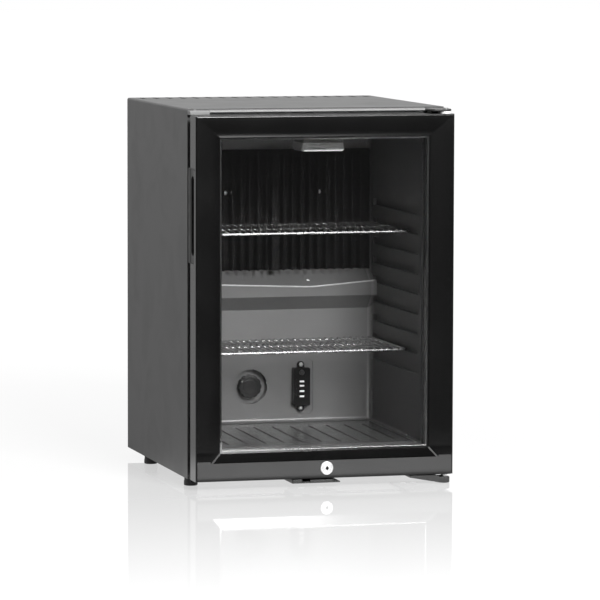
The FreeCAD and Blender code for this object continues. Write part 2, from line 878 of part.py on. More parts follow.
def make_insulation(pockets):
    """Foam between the shell and the liner, with room for what lies in it."""
    side = half_width - sheet
    body = block(-side, side, insulation_front, insulation_rear, cabinet_bottom + sheet, cabinet_top - sheet)
    flange_room = block(-liner_flange_half_width, liner_flange_half_width, 0, liner_wall,
                        liner_flange_bottom, liner_flange_top)
    rooms = [liner_envelope(liner_wall), flange_room, around(dial_well(liner_wall)),
             around(module_recess(liner_wall)), spindle_room()]
    for side in (-1, 1):
        grooves = [shelf_groove(side, level, liner_wall) for level in (0, shelf_groove_count - 1)]
        rooms.append(around(grooves[0].fuse(grooves[1])))
    return body.cut(rooms + [around(pocket) for pocket in pockets])


def make_rear_panel(holes):
    """Sheet that closes the back of the insulation."""
    side = half_width - sheet
    panel = block(-side, side, insulation_rear, unit_front, cabinet_bottom + sheet, cabinet_top - sheet)
    return panel.cut(holes)


def make_feet():
    """Three round feet with bevelled soles; the fourth corner stands on the hinge foot."""
    places = [(-1, foot_front_place), (-1, foot_rear_place), (1, foot_rear_place)]
    feet = []
    for side, place_y in places:
        centre = V(side * (half_width - foot_inset), place_y, 0)
        feet.append(bevelled_turning(foot_radius, centre, Z_AXIS, foot_height, foot_rim, 0))
    return Part.makeCompound(feet)


# Inside the cabinet
def make_cooling_plate():
    """Finned plate on the upper back wall."""
    front = liner_rear_upper - plate_thickness
    body = block(-plate_half_width, plate_half_width, front, liner_rear_upper, plate_bottom, plate_top)
    rear_corners = straight_edges(body, Z_AXIS, lambda middle: middle.y > liner_rear_upper - tolerance)
    body = body.makeChamfer(plate_corner_bevel, rear_corners)
    fins = [block(-centre_fin_width / 2, centre_fin_width / 2, front - fin_depth, front, plate_bottom, plate_top)]
    for side in (-1, 1):
        for index in range(1, fins_each_side + 1):
            middle = side * index * fin_pitch
            fins.append(block(middle - fin_thickness / 2, middle + fin_thickness / 2, front - fin_depth, front,
                              plate_bottom, plate_top))
    return body.fuse(fins).removeSplitter()


def plate_screw_seats():
    """Where the heads of the cooling plate's screws sit."""
    front = liner_rear_upper - plate_thickness
    return [V(side * plate_screw_place_x, front, plate_screw_height) for side in (-1, 1)]


def make_cooling_plate_screws():
    """Two screws that hold the cooling plate."""
    return Part.makeCompound([round_head_screw(seat, plate_thickness + liner_wall) for seat in plate_screw_seats()])


def lamp_body(shrink):
    """Lamp outline: wider at the foot than at the ceiling, less a wall."""
    low = ceiling_height - lamp_drop + shrink
    half_low = lamp_width / 2 - shrink
    half_high = half_low - lamp_side_slope
    front = lamp_front + shrink
    corners = [V(lamp_place_x - half_high, front, ceiling_height),
               V(lamp_place_x - half_low, front, low),
               V(lamp_place_x + half_low, front, low),
               V(lamp_place_x + half_high, front, ceiling_height)]
    return prism(corners, Y_AXIS * (lamp_depth - shrink * 2))


def make_lamp_housing():
    """Lamp base that clips to the ceiling."""
    base_low = ceiling_height - lamp_base_height
    room = block(-half_width, half_width, 0, insulation_rear, base_low, ceiling_height)
    body = lamp_body(0).common(room)
    hollow = lamp_body(lamp_wall).common(block(-half_width, half_width, 0, insulation_rear,
                                               base_low - overrun, ceiling_height - lamp_wall))
    return body.cut(hollow)


def make_lamp_lens():
    """Clear cover below the base, with rounded lower edges and a notch to pull it off by."""
    base_low = ceiling_height - lamp_base_height
    room = block(-half_width, half_width, 0, insulation_rear, cabinet_bottom, base_low)
    body = lamp_body(0).common(room)
    low = ceiling_height - lamp_drop
    foot_edges = [edge for edge in body.Edges if edge.CenterOfMass.z < low + tolerance]
    body = body.makeChamfer(lamp_edge, foot_edges)
    hollow = lamp_body(lamp_wall).common(block(-half_width, half_width, 0, insulation_rear, low,
                                               base_low + overrun))
    notch = peg(lamp_notch_radius, V(lamp_place_x, lamp_front - overrun, base_low), Y_AXIS, lamp_wall + overrun)
    return body.cut([hollow, notch])


def make_lamp_board():
    """Lamp board with its light chips, under the base."""
    top = ceiling_height - lamp_wall
    middle_y = lamp_front + lamp_depth / 2
    half = lamp_board_length / 2
    board = block(lamp_place_x - half, lamp_place_x + half, middle_y - lamp_board_depth / 2,
                  middle_y + lamp_board_depth / 2, top - lamp_board_thickness, top)
    chips = []
    for index in range(lamp_chip_count):
        x = lamp_place_x + (index - (lamp_chip_count - 1) / 2) * lamp_board_length / lamp_chip_count
        low = top - lamp_board_thickness - lamp_chip_height
        chips.append(block(x - lamp_chip_size / 2, x + lamp_chip_size / 2, middle_y - lamp_chip_size / 2,
                           middle_y + lamp_chip_size / 2, low, low + lamp_chip_height))
    return board.fuse(chips)


def shelf_frame_height(step):
    """Height of the middle of a shelf's frame wire."""
    return shelf_groove_bottom + step * shelf_groove_pitch + seat_gap + shelf_frame_radius


def make_shelf_frame(step):
    """Bent frame of a chrome wire shelf, with its middle bar."""
    height = shelf_frame_height(step)
    half = shelf_half_width
    right = bent_tube([V(0, shelf_front, height), V(half, shelf_front, height), V(half, shelf_rear, height),
                       V(0, shelf_rear, height)], shelf_corner_bend, shelf_frame_radius)
    left = right.mirror(V(0, 0, 0), X_AXIS)
    middle = (shelf_front + shelf_rear) / 2
    bar = flat_sided_bar(shelf_frame_radius, tube_sides, V(-half, middle, height), X_AXIS, half * 2)
    return right.fuse([left, bar]).removeSplitter()


def make_shelf_wires(step):
    """The wires of a shelf, welded on its frame from front to back."""
    height = shelf_frame_height(step) + shelf_frame_radius + shelf_wire_radius
    front = shelf_front - shelf_frame_radius
    length = shelf_rear - shelf_front + shelf_frame_radius * 2
    wires = []
    for index in range(shelf_wire_count):
        x = (index - (shelf_wire_count - 1) / 2) * shelf_wire_pitch
        wires.append(flat_sided_bar(shelf_wire_radius, shelf_wire_sides, V(x, front, height), Y_AXIS, length))
    return Part.makeCompound(wires)


# Controls
def spindle_room():
    """Room for the spindle in the liner and the foam."""
    return peg(spindle_radius + seat_gap * 2, V(dial_place_x, liner_rear_lower, dial_height), Y_AXIS,
               well_depth + liner_wall + seat_gap)


def make_thermostat_body():
    """Thermostat behind the dial, cast into the foam."""
    front = liner_rear_lower + well_depth + liner_wall
    body = bevelled_block(dial_place_x - thermostat_width / 2, dial_place_x + thermostat_width / 2,
                          front, front + thermostat_depth, dial_height - thermostat_height / 2,
                          dial_height + thermostat_height / 2, Y_AXIS, module_edge)
    bore = rod(spindle_radius + shaft_play, V(dial_place_x, front - overrun, dial_height), Y_AXIS,
               overrun + spindle_reach)
    return body.cut(bore)


def make_thermostat_dial():
    """Scalloped dial with a raised cap and a pointer mark."""
    front = liner_rear_lower + well_depth - seat_gap - dial_thickness
    centre = V(dial_place_x, front, dial_height)
    body = turned(dial_radius, centre, Y_AXIS, dial_thickness)
    bites = []
    reach = dial_radius + dial_scallop_radius - dial_scallop_bite
    for index in range(dial_scallop_count):
        angle = 2 * math.pi * (index + 0.5) / dial_scallop_count
        bites.append(flat_sided_bar(dial_scallop_radius, scallop_sides,
                                    centre + V(reach * math.cos(angle), -overrun, reach * math.sin(angle)),
                                    Y_AXIS, dial_thickness + overrun * 2))
    cap = turned(dial_cap_radius, centre - Y_AXIS * dial_cap_height, Y_AXIS, dial_cap_height)
    mark_low = dial_height + dial_cap_radius - dial_mark_length
    mark = block(dial_place_x - dial_mark_width / 2, dial_place_x + dial_mark_width / 2,
                 front - dial_cap_height - overrun, front - dial_cap_height + dial_mark_depth,
                 mark_low, mark_low + dial_mark_length)
    socket = peg(spindle_radius, centre + Y_AXIS * (dial_thickness / 2), Y_AXIS, dial_thickness)
    return body.cut(bites).fuse(cap).cut([mark, socket])


def make_thermostat_spindle():
    """Spindle that joins the dial to the thermostat."""
    front = liner_rear_lower + well_depth - seat_gap - dial_thickness / 2
    rear = liner_rear_lower + well_depth + liner_wall + spindle_reach - seat_gap
    return rod(spindle_radius, V(dial_place_x, front, dial_height), Y_AXIS, rear - front)


def module_front():
    """The place of the indicator module's front face."""
    return liner_rear_lower + module_recess_depth - module_depth


def make_indicator_housing():
    """Indicator module: a black block with two ears, seats for the lights and the button."""
    front = module_front()
    rear = liner_rear_lower + module_recess_depth
    half = module_width / 2
    body = bevelled_block(module_place_x - half, module_place_x + half, front, rear,
                          module_bottom, module_bottom + module_height, Y_AXIS, module_edge)
    ear_half = module_ear_width / 2
    ears = bevelled_block(module_place_x - ear_half, module_place_x + ear_half, rear - module_ear_depth, rear,
                          module_bottom - module_ear_reach, module_bottom + module_height + module_ear_reach,
                          Y_AXIS, module_edge * 2)
    boss = turned(module_boss_radius, V(module_place_x, front - module_boss_relief,
                                        module_bottom + module_boss_height_from_bottom), Y_AXIS, module_depth / 2)
    cuts = [screw_hole(seat) for seat in module_screw_seats()]
    cuts += [light_bar(height, front - overrun) for height in light_heights_from_bottom]
    cuts.append(turned(button_radius + seat_gap, button_centre(front - overrun), Y_AXIS,
                    overrun + button_seat_depth + button_travel))
    return body.fuse([ears, boss]).cut(cuts)


def light_bar(height, front):
    """One light bar of the module, from a front place to its seat."""
    middle = module_bottom + height
    return block(module_place_x - light_width / 2, module_place_x + light_width / 2, front,
                 module_front() + light_seat, middle - light_height / 2, middle + light_height / 2)


def module_screw_seats():
    """Where the heads of the module's two screws sit."""
    front = liner_rear_lower + module_recess_depth - module_ear_depth
    reach = module_ear_reach / 2
    return [V(module_place_x, front, module_bottom - reach),
            V(module_place_x, front, module_bottom + module_height + reach)]


def screw_hole(seat):
    """Hole for a small screw."""
    return peg(small_screw_radius, seat, Y_AXIS, small_screw_hole_depth)


def make_indicator_lights():
    """The light bars of the indicator module."""
    front = module_front() - light_relief
    return Part.makeCompound([light_bar(height, front) for height in light_heights_from_bottom])


def button_centre(y):
    """A point on the button's axis."""
    return V(module_place_x, y, module_bottom + button_height_from_bottom)


def make_indicator_button():
    """Round push button with a bevelled rim."""
    front = module_front() - button_relief
    return bevelled_turning(button_radius, button_centre(front), Y_AXIS, button_relief + button_seat_depth,
                            button_rim, 0)


def make_indicator_screws():
    """Two screws through the module's ears."""
    length = module_ear_depth + liner_wall
    return Part.makeCompound([round_head_screw(seat, length) for seat in module_screw_seats()])


# Door
def make_member(place, along, width, outline, edge_radius):
    """A mitred frame member: its section pushed along its length and cut by its outline."""
    flat = frame_flat_share * width
    seat = bead_seat_share * width
    rebate = width - glass_cover
    bow = edge_radius * (1 - math.sqrt(1 / 2))
    start = place(0, door_front + edge_radius)
    nose = place(edge_radius, door_front)
    corners = [nose, place(flat, door_front), place(width, door_front + frame_bevel_depth),
               place(width, pane_front), place(rebate, pane_front), place(rebate, bead_front),
               place(seat, bead_front), place(seat, door_rear), place(0, door_rear), start]
    edges = [Part.Arc(start, place(bow, door_front + bow), nose).toShape()]
    edges += [Part.LineSegment(first, second).toShape() for first, second in zip(corners, corners[1:])]
    bar = Part.Face(Part.Wire(edges)).extrude(along)
    front = door_front - overrun
    room = prism([V(x, front, z) for x, z in outline], Y_AXIS * (door_thickness + overrun * 2))
    return bar.common(room)


def make_stile(side):
    """One upright of the door frame."""
    outline = [(side * half_width, door_bottom), (side * window_half_width, window_bottom),
               (side * window_half_width, window_top), (side * half_width, door_top)]
    bar = make_member(lambda inward, y: V(side * (half_width - inward), y, door_bottom),
                      Z_AXIS * (door_top - door_bottom), stile_width, outline, frame_edge_radius)
    pocket_side = half_width - grip_pocket_depth
    pocket = block(min(side * pocket_side, side * (half_width + overrun)),
                   max(side * pocket_side, side * (half_width + overrun)),
                   door_front + grip_front_margin, door_rear + overrun, grip_bottom, grip_top)
    pin = peg(grip_pin_radius, V(side * (half_width + overrun), door_front + grip_pin_front_margin, grip_pin_height),
              X_AXIS * -side, overrun + grip_pin_depth)
    return bar.cut([pocket, pin])


def make_rail(edge, inner_edge, width, edge_radius):
    """The top or the bottom member of the door frame, from its outer edge to the window."""
    outline = [(-half_width, edge), (-window_half_width, inner_edge),
               (window_half_width, inner_edge), (half_width, edge)]
    heading = (inner_edge - edge) / width
    return make_member(lambda inward, y: V(-half_width, y, edge + heading * inward),
                       X_AXIS * cabinet_width, width, outline, edge_radius)


def make_bottom_rail_cover():
    """Grey cover over the bottom rail: wraps under it, rises at both ends and runs up the mitres."""
    front = door_front - cover_proud
    low = door_bottom - cover_proud
    radius = bottom_edge_radius + cover_proud
    left = cover_end_inset - half_width
    wrap_rear = front + cover_wrap_depth
    outer = cover_section(left, front, low, radius, wrap_rear, cover_end_height)
    inner = cover_section(left, front + cover_thickness, low + cover_thickness, radius - cover_thickness,
                          wrap_rear + overrun, cover_end_height + overrun)
    run = X_AXIS * (half_width - cover_end_inset) * 2
    sheet_body = outer.extrude(run).cut(inner.extrude(run))
    crown = door_bottom + frame_flat_share * bottom_rail_width
    middle = half_width - cover_end_width
    notch = block(-middle, middle, front - overrun, front + cover_thickness + overrun,
                  crown, cover_end_height + overrun)
    return sheet_body.cut(notch).fuse([mitre_strip(-1), mitre_strip(1)]).removeSplitter()


def cover_section(x, front, low, radius, rear, high):
    """Upright section with a rounded lower front corner, as a face square to X."""
    bow = radius * (1 - math.sqrt(1 / 2))
    upper = V(x, front, low + radius)
    lower = V(x, front + radius, low)
    edges = [Part.LineSegment(V(x, front, high), upper).toShape(),
             Part.Arc(upper, V(x, front + bow, low + bow), lower).toShape(),
             Part.LineSegment(lower, V(x, rear, low)).toShape(),
             Part.LineSegment(V(x, rear, low), V(x, rear, high)).toShape(),
             Part.LineSegment(V(x, rear, high), V(x, front, high)).toShape()]
    return Part.Face(Part.Wire(edges))


def mitre_strip(side):
    """Narrow strip that follows the lower mitre from the cover up to the window corner."""
    corner = V(side * half_width, 0, door_bottom)
    inward = V(-side * stile_width, 0, bottom_rail_width)
    start = corner + inward * (frame_flat_share * frame_flat_share)
    crease = corner + inward * frame_flat_share
    end = corner + inward
    across = inward.cross(Y_AXIS).normalize() * cover_seam_width
    front = Y_AXIS * (door_front - cover_proud)
    rear = Y_AXIS * pane_front
    outline = [start + front, crease + front, end + front + Y_AXIS * frame_bevel_depth, end + rear, start + rear]
    return prism([point - across * (1 / 2) for point in outline], across)


def ring(outer, inner, y_low, y_high):
    """A rectangular ring in the XZ plane, from its outer and inner half width, low and high."""
    body = block(-outer[0], outer[0], y_low, y_high, outer[1], outer[2])
    return body.cut(block(-inner[0], inner[0], y_low - overrun, y_high + overrun, inner[1], inner[2]))


def glass_edges():
    """Half width, low and high of the panes."""
    reach = glass_cover - glass_gap
    return (window_half_width + reach, window_bottom - reach, window_top + reach)


def make_pane(front, rear):
    """One pane of the double glazing."""
    half, low, high = glass_edges()
    return block(-half, half, front, rear, low, high)


def make_glass_spacer():
    """Spacer bar between the panes."""
    inner = (window_half_width - spacer_show, window_bottom + spacer_show, window_top - spacer_show)
    return ring(glass_edges(), inner, spacer_front, rear_pane_front)


def make_glazing_bead():
    """Bead that holds the panes in the frame from behind, with a bevelled inner edge."""
    outer = (half_width - bead_seat_share * stile_width - glass_gap,
             door_bottom + bead_seat_share * bottom_rail_width + glass_gap,
             door_top - bead_seat_share * top_rail_width - glass_gap)
    body = ring(outer, (window_half_width, window_bottom, window_top), bead_front, door_rear)
    inner_rear = [edge for edge in body.Edges
                  if abs(edge.CenterOfMass.y - door_rear) < tolerance
                  and abs(edge.CenterOfMass.x) < window_half_width + tolerance
                  and window_bottom - tolerance < edge.CenterOfMass.z < window_top + tolerance]
    return body.makeChamfer(bead_edge, inner_rear)


def make_door_gasket():
    """Magnetic gasket: a foot in the door, a narrow bellows and a wide head against the cabinet."""
    foot_rear = door_rear + gasket_foot_depth
    head_front = -seat_gap - gasket_head_depth
    return gasket_ring(gasket_foot_width, door_rear, foot_rear).fuse([
        gasket_ring(gasket_bellows_width, foot_rear, head_front),
        gasket_ring(gasket_width, head_front, -seat_gap)]).removeSplitter()


def gasket_ring(width, y_low, y_high):
    """One layer of the gasket, centred on its line."""
    inset = (gasket_width - width) / 2
    outer = (gasket_half_width - inset, gasket_bottom + inset, gasket_top - inset)
    inner = (outer[0] - width, outer[1] + width, outer[2] - width)
    return ring(outer, inner, y_low, y_high)


def make_side_grip(side):
    """Finger grip let into a stile: a block with a round-ended slot and a bulging rear lip."""
    inner = half_width - grip_pocket_depth + grip_fit
    front = door_front + grip_front_margin + grip_fit
    lip_inner = half_width - grip_lip_thickness
    low = grip_bottom + grip_fit
    high = grip_top - grip_fit
    lip_middle = -(grip_lip_front + grip_lip_rear) / 2
    corners = [V(half_width, -grip_lip_rear, low), V(lip_inner, -grip_lip_rear, low), V(lip_inner, door_rear, low),
               V(inner, door_rear, low), V(inner, front, low), V(half_width, front, low),
               V(half_width, -grip_lip_front, low)]
    edges = [Part.LineSegment(first, second).toShape() for first, second in zip(corners, corners[1:])]
    edges.append(Part.Arc(corners[-1], V(half_width + grip_lip_bulge, lip_middle, low), corners[0]).toShape())
    body = Part.Face(Part.Wire(edges)).extrude(Z_AXIS * (high - low))
    slot_front = door_front + grip_slot_front_margin
    slot = eased_block(half_width - grip_slot_depth, half_width + overrun, slot_front,
                       slot_front + grip_slot_width, grip_slot_bottom, grip_slot_top, X_AXIS, grip_slot_radius)
    body = body.cut(slot)
    if side < 0:
        body = body.mirror(V(0, 0, 0), X_AXIS)
    return body


# Hinges
def hinge_arm_left():
    """The left end of the upper hinge arm."""
    return half_width - upper_arm_side_inset - upper_arm_length


def upper_screw_seats():
    """Where the heads of the upper hinge's screws sit."""
    height = upper_arm_bottom - upper_flange_drop / 2
    left = hinge_arm_left() + upper_screw_inset
    right = half_width - upper_arm_side_inset - upper_screw_inset
    return [V(left, -upper_arm_thickness, height), V(right, -upper_arm_thickness, height)]


def lower_screw_seats():
    """Where the heads of the lower hinge's screws sit."""
    low = cabinet_bottom - lower_plate_thickness
    return [V(x, lower_screw_place_y, low) for x in lower_screw_places_x]


def make_upper_hinge_bracket():
    """Upper hinge: a rounded arm over the door and a flange screwed to the cabinet's front."""
    left = hinge_arm_left()
    right = half_width - upper_arm_side_inset
    front = hinge_y - upper_arm_nose
    top = upper_arm_bottom + upper_arm_thickness
    arm = block(left, right, front, 0, upper_arm_bottom, top)
    arm = arm.makeFillet(upper_arm_nose_radius, straight_edges(arm, Z_AXIS, lambda middle: middle.y < front / 2))
    flange = block(left, right, -upper_arm_thickness, 0, upper_arm_bottom - upper_flange_drop, top)
    holes = [peg(hinge_screw_radius, seat - Y_AXIS * overrun, Y_AXIS, upper_arm_thickness + overrun * 2)
             for seat in upper_screw_seats()]
    pin_hole = peg(hinge_pin_radius, V(hinge_x, hinge_y, upper_arm_bottom - overrun), Z_AXIS,
                   upper_arm_thickness + overrun * 2)
    return arm.fuse(flange).cut(holes + [pin_hole])


def make_upper_hinge_pin():
    """Headed pin that drops through the upper arm into the door."""
    top = upper_arm_bottom + upper_arm_thickness
    seat = V(hinge_x, hinge_y, top)
    head = turned(upper_pin_head_radius, seat, Z_AXIS, upper_pin_head_height)
    low = door_top - pin_reach_into_door
    return head.fuse(rod(hinge_pin_radius, V(hinge_x, hinge_y, low), Z_AXIS, top - low))


def make_door_bush(edge, heading, flange_height):
    """Flanged bush in the door for a hinge pin, from the door's edge inward."""
    start = V(hinge_x, hinge_y, edge)
    axis = Z_AXIS * heading
    reach = pin_reach_into_door + seat_gap
    body = peg(bush_radius, start, axis, reach + bush_end_wall)
    flange = turned(bush_flange_radius, start - axis * flange_height, axis, flange_height)
    bore = rod(hinge_pin_radius + shaft_play, start - axis * (flange_height + overrun), axis,
               reach + flange_height + overrun)
    return body.fuse(flange).cut(bore)


def bush_pocket(edge, heading):
    """The room that a bush takes in the door frame."""
    return peg(bush_radius, V(hinge_x, hinge_y, edge), Z_AXIS * heading,
               pin_reach_into_door + seat_gap + bush_end_wall)


def flange_room():
    """The room that the lower bush's flange takes in the cover, which reaches below the rail."""
    return peg(bush_flange_radius + seat_gap, V(hinge_x, hinge_y, door_bottom), -Z_AXIS, overrun)


def make_lower_hinge_bracket():
    """Lower hinge: a plate under the cabinet and a deep slanting arm in front of it."""
    front = door_front + lower_arm_front_margin
    rear = front + lower_web_depth
    low = cabinet_bottom - lower_plate_thickness
    right = half_width - upper_arm_side_inset
    plate = block(lower_plate_left, right, rear, lower_plate_rear, low, cabinet_bottom)
    outline = [V(lower_plate_left, front, cabinet_bottom), V(lower_web_shoulder, front, cabinet_bottom),
               V(lower_web_tip, front, lower_web_shoulder_height), V(hinge_x, front, lower_web_shoulder_height),
               V(hinge_x, front, lower_web_tip_height), V(lower_web_tip, front, lower_web_tip_height),
               V(lower_plate_left, front, low)]
    web = prism(outline, Y_AXIS * lower_web_depth)
    holes = [peg(hinge_screw_radius, seat - Z_AXIS * overrun, Z_AXIS, lower_plate_thickness + overrun * 2)
             for seat in lower_screw_seats()]
    room = turned(hinge_foot_radius, V(hinge_x, hinge_y, -overrun), Z_AXIS, cabinet_bottom + overrun * 2)
    return web.fuse(plate).removeSplitter().cut(holes + [room])


def make_hinge_foot():
    """Round black foot under the lower hinge pin, with bevelled rims."""
    centre = V(hinge_x, hinge_y, 0)
    body = bevelled_turning(hinge_foot_radius, centre, Z_AXIS, hinge_foot_top, hinge_foot_edge, hinge_foot_edge)
    return body.cut(peg(hinge_pin_radius, centre + Z_AXIS * (hinge_foot_top / 2), Z_AXIS, hinge_foot_top))


def make_lower_hinge_pin():
    """Pin that stands in the hinge foot; its collar carries the door's lower bush."""
    low = hinge_foot_top / 2
    top = door_bottom + pin_reach_into_door
    shank = rod(hinge_pin_radius, V(hinge_x, hinge_y, low), Z_AXIS, top - low)
    collar_top = door_bottom - lower_bush_flange_height - seat_gap
    collar = turned(lower_pin_collar_radius, V(hinge_x, hinge_y, hinge_foot_top), Z_AXIS,
                    collar_top - hinge_foot_top)
    return shank.fuse(collar)


def make_bracket_screws():
    """The screws of the upper hinge, the lower hinge and the striker."""
    upper = [hexagon_screw(seat, Y_AXIS) for seat in upper_screw_seats()]
    lower = [hexagon_screw(seat, Z_AXIS) for seat in lower_screw_seats() + striker_screw_seats()]
    return Part.makeCompound(upper + lower)


# Lock
def lock_point(y):
    """A point on the lock's axis."""
    return V(lock_place_x, y, lock_height)


def make_lock_barrel():
    """Lock barrel with its round bezel on the door's front."""
    front = door_front - cover_proud
    face = front - lock_bezel_height
    bezel = bevelled_turning(lock_bezel_radius, lock_point(face), Y_AXIS, lock_bezel_height,
                             lock_bezel_height / 2, 0)
    barrel = peg(lock_barrel_radius, lock_point(front), Y_AXIS, lock_barrel_length)
    bore = rod(lock_plug_radius + shaft_play, lock_point(face - overrun), Y_AXIS,
               lock_barrel_length + lock_bezel_height + overrun * 2)
    return bezel.fuse(barrel).cut(bore)


def barrel_rear():
    """Where the lock barrel ends inside the door."""
    return door_front - cover_proud + lock_barrel_length


def make_lock_plug():
    """Turning plug with its keyway and the square-ended tail that carries the cam."""
    rear = barrel_rear() + seat_gap
    body = rod(lock_plug_radius, lock_point(lock_face), Y_AXIS, rear - lock_face)
    slot = block(lock_place_x - keyway_width / 2, lock_place_x + keyway_width / 2, lock_face - overrun,
                 lock_face + keyway_depth, lock_height - keyway_height / 2, lock_height + keyway_height / 2)
    eye = peg(keyway_round_radius, lock_point(lock_face - overrun), Y_AXIS, overrun + keyway_depth)
    tail = peg(cam_shaft_radius, lock_point(rear), Y_AXIS, cam_thickness)
    return body.cut([slot, eye]).fuse(tail)


def make_lock_cam():
    """Cam that turns down behind the striker."""
    front = barrel_rear() + seat_gap
    half = cam_width / 2
    body = block(lock_place_x, lock_place_x + cam_length, front, front + cam_thickness,
                 lock_height - half, lock_height + half)
    body = body.fuse(peg(half, lock_point(front), Y_AXIS, cam_thickness)).removeSplitter()
    return body.cut(peg(cam_shaft_radius, lock_point(front - overrun), Y_AXIS, cam_thickness + overrun * 2))


def cam_room():
    """The space in the bottom rail that the cam turns in, open below."""
    return block(lock_place_x - cam_width / 2 - cam_space_margin, lock_place_x + cam_length + cam_space_margin,
                 barrel_rear(), door_rear - cam_space_rear_wall, door_bottom - overrun,
                 lock_height + cam_width / 2 + cam_space_top_margin)


def striker_screw_seats():
    """Where the heads of the striker's screws sit."""
    return [V(x, striker_screw_place_y, cabinet_bottom - striker_thickness) for x in striker_screw_places_x]


def make_lock_striker():
    """Bent striker plate under the cabinet, with the slot that the cam drops into and a lip at its front."""
    front = door_front + striker_front_margin
    base = block(striker_left, striker_right, 0, striker_rear, cabinet_bottom - striker_thickness, cabinet_bottom)
    step = block(striker_left, striker_right, -striker_thickness, 0, striker_plate_height, cabinet_bottom)
    shelf = block(striker_left, striker_right, front, 0, striker_plate_height,
                  striker_plate_height + striker_thickness)
    lip = block(striker_lip_left, striker_lip_right, front, front + striker_thickness,
                striker_plate_height, striker_lip_top)
    cam_front = barrel_rear() + seat_gap
    cam_reach = math.hypot(cam_length, cam_width / 2)
    plate_drop = lock_height - striker_plate_height - striker_thickness
    slot_right = lock_place_x + math.sqrt(cam_reach ** 2 - plate_drop ** 2) + striker_slot_margin
    slot = block(lock_place_x - cam_width / 2 - striker_slot_margin, slot_right,
                 cam_front - striker_slot_margin, cam_front + cam_thickness + striker_slot_margin,
                 striker_plate_height - overrun, striker_plate_height + striker_thickness + overrun)
    holes = [peg(hinge_screw_radius, seat - Z_AXIS * overrun, Z_AXIS, striker_thickness + overrun * 2)
             for seat in striker_screw_seats()]
    return base.fuse([step, shelf, lip]).removeSplitter().cut(holes + [slot])


def make_striker_wing():
    """Dark end piece beside the striker."""
    front = door_front + striker_front_margin
    return eased_block(striker_wing_left, striker_left, front, 0, striker_plate_height, cabinet_bottom,
                       Z_AXIS, striker_thickness)


# Cooling unit
def make_boiler_housing():
    """Sheet housing round the boiler's insulation, with an opening for the pipe at its top."""
    return bevelled_block(boiler_left, boiler_left + boiler_width, unit_front, unit_front + boiler_depth,
                          boiler_bottom, boiler_top, Z_AXIS, boiler_edge)


def boiler_x():
    """The middle of the boiler across the cabinet."""
    return boiler_left + boiler_width / 2


def condenser_level(x):
    """Height of the condenser pipe, which falls to the left."""
    return boiler_pipe_top - condenser_fall * (boiler_x() - x) / (boiler_x() - condenser_left)


def junction_y():
    """Where the pipes outside meet the cooling tube."""
    return unit_place_y - pipe_bend - pipe_stub


def make_condenser():
    """Pipe from the boiler up and across to the left, then forward to the cooling tube."""
    low_end = condenser_level(condenser_left)
    route = [V(boiler_x(), unit_place_y, boiler_top), V(boiler_x(), unit_place_y, boiler_pipe_top),
             V(condenser_left, unit_place_y, low_end), V(condenser_left, junction_y(), low_end)]
    return bent_tube(route, pipe_bend, pipe_radius)


def make_condenser_fins(pipe):
    """Square fins on the condenser pipe."""
    half = condenser_fin_size / 2
    fins = []
    for index in range(int((boiler_x() - pipe_bend - condenser_fin_first) / condenser_fin_pitch)):
        x = condenser_fin_first + index * condenser_fin_pitch
        level = condenser_level(x)
        fins.append(block(x, x + condenser_fin_thickness, unit_place_y - half, unit_place_y + half,
                          level - half, level + half).cut(pipe))
    return Part.makeCompound(fins)


def cooling_tube_exit():
    """Height at which the cooling tube comes out again."""
    return condenser_level(condenser_left) - cooling_tube_drop


def make_cooling_tube():
    """Tube in the foam behind the cooling plate: across, down and back."""
    start = condenser_level(condenser_left)
    end = cooling_tube_exit()
    right_high = start - cooling_tube_fall
    right_low = end + cooling_tube_fall
    route = [V(condenser_left, junction_y(), start), V(condenser_left, cooling_tube_place_y, start),
             V(cooling_tube_right, cooling_tube_place_y, right_high),
             V(cooling_tube_right, cooling_tube_place_y, right_low),
             V(condenser_left, cooling_tube_place_y, end), V(condenser_left, junction_y(), end)]
    return bent_tube(route, tube_bend, tube_radius)


def make_absorber_coil(receiver):
    """Pipe that comes back from the cooling tube and winds down to the receiver."""
    level = cooling_tube_exit()
    bend_drop = (level - receiver_height - absorber_runs * absorber_run_fall) / (absorber_runs + 1)
    route = [V(condenser_left, junction_y(), level), V(condenser_left, unit_place_y, level)]
    level -= bend_drop
    at_left = True
    route.append(V(condenser_left, unit_place_y, level))
    for _run in range(absorber_runs):
        at_left = not at_left
        x = condenser_left if at_left else absorber_right
        level -= absorber_run_fall
        route.append(V(x, unit_place_y, level))
        level -= bend_drop
        route.append(V(x, unit_place_y, level))
    return bent_tube(route, pipe_bend, pipe_radius).cut(receiver)


def make_receiver_vessel():
    """Lying vessel that collects the solution, with drawn-in ends."""
    start = V(receiver_left, unit_place_y, receiver_height)
    return bevelled_turning(receiver_radius, start, X_AXIS, receiver_right - receiver_left,
                            receiver_dome, receiver_dome)


def make_return_pipe():
    """Pipe from the receiver to the foot of the boiler."""
    start = V(receiver_right, unit_place_y, receiver_height)
    return flat_sided_bar(return_pipe_radius, tube_sides, start, X_AXIS, boiler_left - receiver_right)


def make_unit_brackets():
    """Two flat bars that hold the absorber's pipes off the rear sheet."""
    front = unit_front
    bar_rear = unit_place_y - pipe_radius
    high = cooling_tube_exit() - pipe_radius
    low = receiver_height + receiver_radius + bracket_foot_clearance
    bars = []
    for x in bracket_places_x:
        outline = [V(x, front, low), V(x, bar_rear, low), V(x, bar_rear, high), V(x, front, high),
                   V(x, front, high - bracket_thickness), V(x, bar_rear - bracket_thickness, high - bracket_thickness),
                   V(x, bar_rear - bracket_thickness, low + bracket_thickness),
                   V(x, front, low + bracket_thickness)]
        bars.append(prism(outline, X_AXIS * bracket_width))
    return Part.makeCompound(bars)


